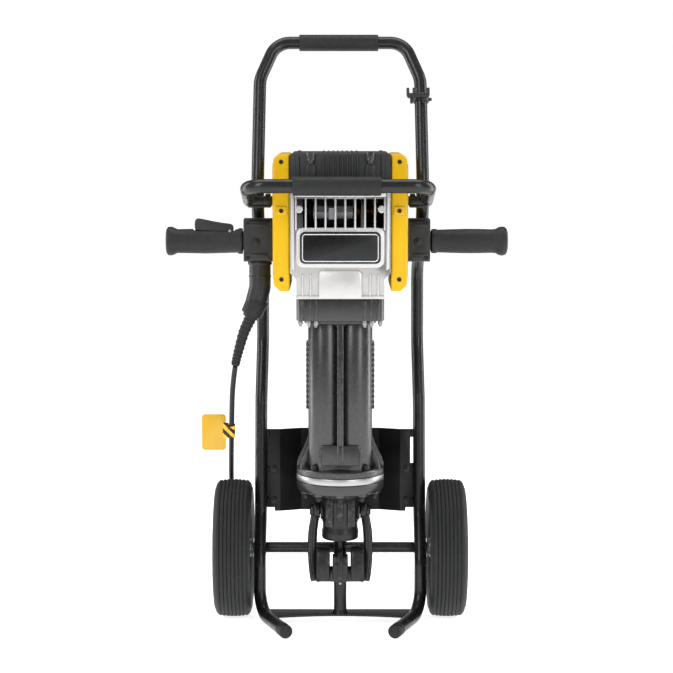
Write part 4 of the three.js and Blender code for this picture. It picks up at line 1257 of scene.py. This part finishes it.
# ---- Handles ----------------------------------------------------------------------------------
@dataclass
class Handle:
    """One side handle: its hinge block on the casing and the sprung grip on its pin."""

    name: str
    side: int
    hinge: float
    y: float = -2
    z: float = 701.5
    block_outer: float = 22
    grip_start: float = 24.5
    grip_end: float = 161
    radius: float = 22

    @property
    def inner(self) -> float:
        """Where the block meets the cover, measured out from the hinge."""
        return 117.4 - self.hinge

    def at(self, x: float, y: float, z: float) -> Point:
        """A point measured outwards from the hinge pin."""
        return (self.side * (self.hinge + x), self.y + y, self.z + z)

    def box(self, shape: Solid, x: Span, y: Span, z: Span, soft: float = 1.0) -> None:
        """A block given outwards from the hinge pin."""
        ends = sorted(self.side * (self.hinge + v) for v in x)
        shape.box((ends[0], ends[1]), (self.y + y[0], self.y + y[1]), (self.z + z[0], self.z + z[1]), soft)

    def build(self) -> None:
        """Makes the block, the grip and, on the left, the trigger."""
        self.block()
        self.grip()
        if self.name == "left":
            self.trigger()

    def block(self) -> None:
        """The moulded hinge block, its cap lines, screws and pin."""
        shape = Solid()
        shape.node(f"handle_block_{self.name}", soft=3.2, segments=4, least=20)
        low, high = self.inner, self.block_outer
        self.box(shape, (low + 2, low + 8), (-27.5, 27.5), (-33, 38), 1.6)
        for z in (-26, 27):
            self.box(shape, (low + 12, high - 3), (-27.4, -24), (z, z + 6), 1.6)
        node = f"handle_block_{self.name}"
        shape.finish(f"hinge_block_{self.name}", "hammer", BLACK_NYLON, [node])
        pin = Solid()
        pin.rod(self.at(0, -25.6, 0), self.at(0, 25.6, 0), 5, soft=0.6)
        pin.rod(self.at(0, -25.8, 0), self.at(0, -28.2, 0), 7.4, soft=0.7, sides=28)
        pin.rod(self.at(0, -28, 0), self.at(0, -29, 0), 3.4, soft=0.3, sides=6)
        pin.finish(f"hinge_pin_{self.name}", "hammer", BLACK_SCREW, [f"handle_pin_{self.name}"])
        screws = Solid()
        for x in (low + 6, high - 7):
            for z in (-29, 33):
                spot = self.at(x, -25.4, z)
                screw_head(screws, spot, Axis.Y, -1, 3.4, 2.4)
        screws.finish(f"hinge_block_screws_{self.name}", "hammer", BLACK_SCREW)

    def profile(self) -> list[Span]:
        """The grip's outline: collar, waist, palm swell and flared end.

        Returns:
            (radius, distance out from the hinge) points.
        """
        start, end, r = self.grip_start, self.grip_end, self.radius
        return [
            (0, start), (r - 2, start), (r - 0.4, start + 1.4), (r, start + 5), (r - 0.2, start + 9),
            (r - 1.6, start + 11), (r - 1.4, start + 16), (r - 0.6, 62), (r, 88), (r - 0.2, 112),
            (r - 0.8, end - 27), (r, end - 21), (24.6, end - 16.5), (26, end - 12), (26, end - 8),
            (24.8, end - 4), (22, end - 1.4), (17, end), (0, end),
        ]

    def grip(self) -> None:
        """The pebbled grip and its root boot; the left one is slotted for its trigger."""
        shape = Solid()
        if self.name == "left":
            shape.node("grip_left", soft=0.9, segments=2, least=40)
        else:
            profile = [(r, self.side * (self.hinge + x)) for r, x in self.profile()]
            shape.turned(profile, Axis.X, (0, self.y, self.z), sides=72)
            self.box(shape, (-9, self.grip_start + 4), (-13, 13), (-13, 13), 1.5)
        root = self.grip_start
        boot = [(14, root - 0.8), (17.6, root - 0.8), (20.4, root + 0.6), (20.8, root + 2), (19.6, root + 3),
                (14, root + 3)]
        shape.turned(
            [(r, self.side * (self.hinge + x)) for r, x in boot], Axis.X, (0, self.y, self.z), sides=56
        )
        piece, node = f"grip_{self.name}_rubber", f"grip_{self.name}"
        shape.finish(piece, f"handle_{self.name}", GRIP_RUBBER, [node], crease=40)

    def trigger(self) -> None:
        """The long paddle trigger, thickest at its outer end."""
        shape = Solid()
        outline = [(41, 14), (60, 14), (109, 20), (110, 30), (109, 38), (106, 40.4), (100, 40), (76, 35),
                   (60, 32.4), (46, 30.5), (42, 28), (41, 24)]
        made = [(self.side * (self.hinge + x), self.z + z) for x, z in outline]
        shape.slab(made[::self.side], Axis.Y, (self.y - 9.3, self.y + 9.3), soft=1.6, segments=3)
        shape.finish("trigger_paddle", "trigger_lever", BLACK_NYLON, ["trigger"])


@dataclass
class CarryBar:
    """The bent bar across the front, its foam sleeve and the lugs that bolt it to the covers."""

    y: float = -148
    z: float = 805
    radius: float = 12.5
    left: float = -160.5
    right: float = 152.5
    body: str = "hammer"

    def build(self) -> None:
        """Makes the bar and its sleeve."""
        shape = Solid()
        bar = [(self.left, self.y, self.z), (self.right, self.y, self.z)]
        corners = [(self.left, -20, 775), *bar, (self.right, -20, 775)]
        shape.pipe(filleted(corners, (30, 30)), self.radius, 28)
        for x in ((self.left - 6, -118), (118, self.right + 6)):
            shape.box(x, (-48, -12), (767, 783), soft=3)
            shape.box((x[0] + 4, x[1] - 4), (-50, -10), (763.5, 768), soft=1.4)
        shape.finish("carry_bar_tube", self.body, POWDER_COAT, ["carry_bar"])
        bolts = Solid()
        for x in (-128, 128):
            for y in (-40, -20):
                bolts.rod((x, y, 782.6), (x, y, 787), 5.2, soft=0.8, sides=6)
        bolts.finish("carry_bar_bolts", self.body, BLACK_SCREW)
        sleeve = Solid()
        bore, outer = self.radius + 0.2, 16.5
        profile = [(bore, -82), (outer - 2, -82), (outer - 0.6, -81.2), (outer, -79), (outer, 67),
                   (outer - 0.6, 69.2), (outer - 2, 70), (bore, 70)]
        sleeve.turned(profile, Axis.X, (0, self.y, self.z))
        sleeve.finish("carry_bar_sleeve", self.body, SLEEVE_RUBBER, ["carry_grip"])


# ---- Cord -------------------------------------------------------------------------------------
@dataclass
class Cord:
    """The supply cord: housing tail, strain relief, run behind the wheel, hank, tie, plug and tag."""

    diameter: float = 9.5
    route: tuple[Point, ...] = (
        (-189.5, 0.1, 474.4), (-193, 6, 450), (-196.5, 22, 415), (-200, 60, 350), (-203, 100, 292),
        (-205, 134, 248), (-206, 163, 225), (-207, 187, 190), (-207.5, 201, 151), (-208, 204, 110),
        (-209, 205, 60), (-210, 209, 24), (-211, 222, 9), (-212, 238.6, 6),
    )
    hank_x: float = -213
    hank_half: float = 28.2
    hank_from: float = 245
    hank_to: float = 425
    laps: int = 4
    climb_start: float = 33
    plug_from: float = 306
    plug_to: float = 352
    plug_z: float = 66.3
    tail: tuple[Point, ...] = ((-144, -2, 665.6), (-144, -2, 618), (-151, -2, 592))

    def build(self) -> None:
        """Makes the cord and every piece on it."""
        self.tail_housing()
        self.relief()
        tag = self.tag()
        strap = self.strap()
        plug = self.plug()
        pins = self.pins()
        tie = self.tie()
        self.line([tag, strap, plug, pins, tie])

    def coil_point(self, distance: float) -> Vector:
        """A point on the hank.

        Args:
            distance: how far along the cord, from the middle of the hank's right-hand run.

        Returns:
            The point; each lap climbs onto the next as it comes to its near bend.
        """
        r, run, bend, early = self.hank_half, self.run, self.bend, self.climb_start
        lap, along = divmod(distance, 2 * (run + bend))
        middle = (self.hank_from + self.hank_to) / 2
        climb = min(max((along - (1.5 * run + bend - early)) / (early + 0.4 * bend), 0), 1)
        z = self.level(lap + climb * climb * (3 - 2 * climb))
        corners = (run / 2, run / 2 + bend, 1.5 * run + bend, 1.5 * run + 2 * bend)
        if along < corners[0]:
            x, y = r, along
        elif along < corners[1]:
            a = (along - corners[0]) / r
            x, y = r * math.cos(a), run / 2 + r * math.sin(a)
        elif along < corners[2]:
            x, y = -r, run / 2 - (along - corners[1])
        elif along < corners[3]:
            a = (along - corners[2]) / r
            x, y = -r * math.cos(a), -run / 2 - r * math.sin(a)
        else:
            x, y = r, -run / 2 + (along - corners[3])
        return Vector((self.hank_x + x, middle + y, z))

    @property
    def run(self) -> float:
        """The straight part of a lap."""
        return self.hank_to - self.hank_from - 2 * self.hank_half

    @property
    def bend(self) -> float:
        """The length of the half turn at each end of a lap."""
        return math.pi * self.hank_half

    def level(self, laps: float) -> float:
        """The height of the cord's middle after so many laps."""
        return self.diameter / 2 + 0.05 + (self.diameter + 0.02) * laps

    def path(self) -> list[Vector]:
        """The cord's whole line.

        Returns:
            The points from the strain relief, down behind the wheel, round the hank and back over its
            near end into the plug.
        """
        x, floor, top = self.hank_x, self.level(0), self.level(self.laps)
        entry = [(x + 6, 262, floor), (x + 17, 286, floor), (x + 26, 311, floor)]
        last = self.laps * 2 * (self.run + self.bend) + 1.5 * self.run + self.bend - self.climb_start
        count = round(last / 14)
        coil = [self.coil_point(last * k / count) for k in range(count + 1)]
        lead = [(-28.6, 290, 1.9), (-28.6, 274, 5.0), (-28.4, 260, 7.8)]
        turn = [(a, b, 9.4 + 0.8 * k) for k, (a, b) in enumerate(arc((1.8, 250), 30, 180, 360, 6))]
        lean = [(a, b, 15.0 + 1.3 * k) for k, (a, b) in enumerate(arc((3.3, 250), 28.5, 21, 63.8, 2))]
        enter = [(a, b, 19.6 + 1.9 * k) for k, (a, b) in enumerate(arc((28.5, 301.2), 28.5, 223, 202, 1))]
        rise = self.plug_z - top
        straight = [(0, 301.2, rise), (0, self.plug_from + 3, rise)]
        away = [(x + a, b, top + c) for a, b, c in (*lead, *turn, *lean, *enter, *straight)]
        return smooth([Vector(p) for p in (*self.route, *entry)] + coil + [Vector(p) for p in away], 3)

    def line(self, pieces: list[bpy.types.Object]) -> None:
        """The cord as one tube, laid from the breaker to the truck and attached to neither.

        Args:
            pieces: what is on the cord; not used.
        """
        points = self.path()
        shape = Solid()
        shape.pipe(points, self.diameter / 2, 16)
        cord = shape.finish("supply_cord", None, CORD_PVC, ["cord_lead", "cord_hank"], crease=60)
        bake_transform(cord)

    def tail_housing(self) -> None:
        """The moulded tail under the left hinge block, with a collar, a ring and a seam."""
        shape = Solid()
        shape.pipe(filleted(self.tail, (40,)), 19.3, 40)
        shape.rod((-144, -2, 665.4), (-144, -2, 659), 21.5, soft=1.5, sides=48)
        shape.rod((-144, -2, 640), (-144, -2, 637), 20.2, soft=1, sides=48)
        shape.box((-146, -142), (-22.2, 18.2), (600, 658), soft=1.5)
        shape.finish("cord_tail_housing", "hammer", BLACK_NYLON, ["cord_tail"])

    def relief(self) -> None:
        """The slanting cuff and the tapered, ringed sleeve."""
        shape = Solid()
        bow = ((-150.4, -2, 594), (-154, -2, 582), (-162, -2, 562), (-173, -1.4, 538), (-182, -0.6, 508),
               (-187.6, 0, 486), (-189.4, 0, 476.2))
        line = smooth([Vector(p) for p in bow], 8)
        reach, wide, taper = len(line) - 1, 12.4, 0.47
        shape.pipe(line, wide, 32, [1 - taper * k / reach for k in range(len(line))])
        cuff_top, cuff_end = Vector((-147.4, -2, 597)), Vector((-160, -2, 569))
        shape.rod(cuff_top, cuff_end, 20.2, 19.2, soft=1.6, sides=48)
        shape.rod(cuff_top.lerp(cuff_end, 0.9), cuff_top.lerp(cuff_end, 1.2), 15.4, 13.6, soft=1.6, sides=48)
        for k in range(14):
            at = 12 + 2.4 * k
            low = min(int(at), reach - 1)
            spot = line[low].lerp(line[low + 1], at - low)
            heading = (line[low + 1] - line[low]).normalized()
            radius = wide * (1 - taper * at / reach) + 0.8
            shape.rod(spot, spot + heading * 3.2, radius, radius - 0.2, soft=0.7, sides=40)
        shape.finish("cord_strain_relief", "hammer", SLEEVE_RUBBER, ["strain_relief"])

    def tag(self) -> bpy.types.Object:
        """The blank yellow card and the tongue that its strap holds.

        Returns:
            The card.
        """
        shape = Solid()
        shape.slab(rounded((-255, -210.5), (311, 378), 6, 6), Axis.Y, (61.0, 62.6), soft=0.35)
        shape.box((-214, -207), (61.0, 62.6), (339, 355), soft=0.5)
        return shape.finish("cord_tag_card", "hammer", TAG_CARD, ["warning_tag"])

    def strap(self) -> bpy.types.Object:
        """The striped strap folded round the cord and over the card's tongue.

        Returns:
            The strap.
        """
        shape = Solid()
        spot = Vector((-200.2, 61.8, 347))
        turn = Vector((0, 0, 1)).rotation_difference(Vector((-3, 40, -61))).to_matrix().to_4x4()
        loop = Solid()
        loop.turned([(4.85, -15), (6.8, -15), (6.8, 15), (4.85, 15)], Axis.Z, sides=40, soft=0.3)
        shape.take(loop.mesh, Matrix.Translation(spot) @ turn)
        shape.slab([(-216, 333), (-206, 333), (-205.4, 362), (-216, 362)], Axis.Y, (60.2, 63.4), soft=0.4)
        return shape.finish("cord_tag_strap", "hammer", STRAP)

    def plug(self) -> bpy.types.Object:
        """The heavy rubber plug, with finger ribs and a cord sleeve.

        Returns:
            The plug.
        """
        x, z, start, end = self.hank_x, self.plug_z, self.plug_from, self.plug_to
        shape = Solid()
        shape.slab(
            rounded((x - 27, x + 27), (z - 18.5, z + 19), 15, 8), Axis.Y, (start + 8, end), soft=3,
            segments=3
        )
        for k in range(5):
            y = start + 13 + 6 * k
            shape.slab(
                rounded((x - 27.8, x + 27.8), (z - 18.5, z + 19.8), 15.5, 8), Axis.Y, (y, y + 3), soft=1.1
            )
        shape.rod((x, start, z), (x, start + 10, z), 11, 16, soft=1.5, sides=40)
        return shape.finish("plug_body", "cart", SLEEVE_RUBBER, ["plug"])

    def pins(self) -> bpy.types.Object:
        """The plug's two round pins.

        Returns:
            The pins.
        """
        shape = Solid()
        for x in (self.hank_x - 9.5, self.hank_x + 9.5):
            shape.rod((x, self.plug_to - 1, self.plug_z), (x, 371, self.plug_z), 2.4, soft=0.8, sides=20)
        return shape.finish("plug_pins", "cart", ZINC_SCREW)

    def tie(self) -> bpy.types.Object:
        """The hook-and-loop tie round one run of the hank, as a flat band.

        Returns:
            The tie.
        """
        shape = Solid()
        x, z = self.hank_x + self.hank_half, 25.0
        outline = rounded((x - 6.4, x + 6.4), (z - 24.4, z + 25.0), 5.5, 5)
        inner = rounded((x - 5.2, x + 5.2), (z - 23.2, z + 23.8), 4.6, 5)
        outer_next, inner_next = outline[1:] + outline[:1], inner[1:] + inner[:1]
        for corners in zip(outline, outer_next, inner_next, inner):
            shape.slab(corners, Axis.Y, (372, 390), soft=0)
        return shape.finish("hank_tie", "cart", SLEEVE_RUBBER)


# ---- Drive ------------------------------------------------------------------------------------
DRIVE_LOOKS: dict[str, Finish] = {
    "armature": COPPER,
    "cooling_fan": BLACK_NYLON,
    "stator": ZINC_SCREW,
    "switch_block": BLACK_NYLON,
}


def dress_drive() -> None:
    """Gives the pieces inside the casings their metals; they keep their CAD shapes."""
    hidden = (
        "armature", "cooling_fan", "stator", "motor_bearing_left", "motor_bearing_right", "layshaft",
        "crank_gear", "connecting_rod", "wrist_pin", "piston", "cylinder", "ram", "beat_guide",
        "beat_piece", "trigger_pin", "switch_block"
    )
    for name in hidden:
        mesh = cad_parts[name].data
        mesh.materials.clear()
        mesh.materials.append(DRIVE_LOOKS.get(name, TURNED_STEEL).build())
    LOG.info("drive: %d pieces", len(hidden))


# ---- Studio -----------------------------------------------------------------------------------
@dataclass
class Studio:
    """A pale floor and surround, soft boxes in front, at both sides and above, and the camera."""

    camera: Point = (-6.7, -3445, 930)
    pitch: float = 6.635
    focal_share: float = 1925 / 673
    surround: float = 0.28
    lamps: tuple[tuple[str, Point, Point, Span, float], ...] = (
        ("key", (-1500, -2300, 2100), (0, 0, 560), (0.9, 2.2), 44),
        ("fill", (1500, -2300, 1500), (0, 0, 520), (0.9, 2.2), 30),
        ("left_strip", (-1800, 500, 900), (0, 0, 560), (0.5, 2.2), 22),
        ("right_strip", (1800, 500, 900), (0, 0, 560), (0.5, 2.2), 22),
        ("top", (0, 200, 2600), (0, 0, 600), (2.2, 1.2), 26),
    )

    def build(self) -> None:
        """Sets the floor, the lamps, the surround and the camera."""
        self.sweep()
        for name, spot, aim, size, power in self.lamps:
            self.lamp(name, spot, aim, size, power)
        bpy.context.scene.world = self.room()
        bpy.context.scene.view_settings.view_transform = "Standard"
        self.take_camera()

    def room(self) -> bpy.types.World:
        """A dim pale surround for the light, which looks white behind the object.

        Returns:
            The world.
        """
        world = bpy.data.worlds.new("pale_room")
        world.use_nodes = True
        tree = world.node_tree
        tree.nodes.clear()
        lit = add_node(tree, "Background", {"Color": (1, 1, 1, 1), "Strength": self.surround})
        seen = add_node(tree, "Background", {"Color": (1, 1, 1, 1), "Strength": 1.0})
        straight = add_node(tree, "LightPath").outputs["Is Camera Ray"]
        mixed = add_node(tree, "MixShader", {0: straight, 1: lit.outputs[0], 2: seen.outputs[0]})
        add_node(tree, "OutputWorld", {"Surface": mixed.outputs[0]})
        return world

    def sweep(self) -> None:
        """A wide pale floor."""
        made = bmesh.new()
        bmesh.ops.create_grid(made, x_segments=1, y_segments=1, size=14)
        mesh = bpy.data.meshes.new("floor")
        made.to_mesh(mesh)
        made.free()
        mesh.materials.append(PAPER.build())
        floor = bpy.data.objects.new("floor", mesh)
        bpy.context.scene.collection.objects.link(floor)

    def lamp(self, name: str, spot: Point, aim: Point, size: Span, power: float) -> None:
        """One soft box.

        Args:
            name: its name.
            spot: where it stands, in millimetres from the breaker's axis.
            aim: the point that it is turned to.
            size: its width and height, in metres.
            power: its light, in watts.
        """
        light = bpy.data.lights.new(name, "AREA")
        light.shape = "RECTANGLE"
        light.size, light.size_y = size
        light.energy = power
        holder = bpy.data.objects.new(name, light)
        holder.location = place(spot)
        holder.rotation_euler = (place(aim) - place(spot)).to_track_quat("-Z", "Y").to_euler()
        bpy.context.scene.collection.objects.link(holder)

    def take_camera(self) -> None:
        """A long lens, slightly above the middle and tipped down."""
        lens = bpy.data.cameras.new("camera")
        lens.sensor_width = 36
        lens.lens = 36 * self.focal_share
        lens.clip_end = 50
        holder = bpy.data.objects.new("camera", lens)
        holder.location = place(self.camera)
        holder.rotation_euler = (math.radians(90 - self.pitch), 0, 0)
        bpy.context.scene.collection.objects.link(holder)
        bpy.context.scene.camera = holder


def main() -> None:
    """Builds the studio, the cord, the truck, the wheels and the breaker, and gives the drive its finishes.
    """
    logging.basicConfig(level=logging.INFO, format="%(name)s: %(message)s")
    Studio().build()
    Cord().build()
    Truck().build()
    for name, side in SIDES:
        Wheel(name, side).build()
    MotorCasing().build()
    Barrel().build()
    Retainer().build()
    Handle("left", -1, 150).build()
    Handle("right", 1, 138).build()
    CarryBar().build()
    dress_drive()


if __name__ == "__main__":
    main()
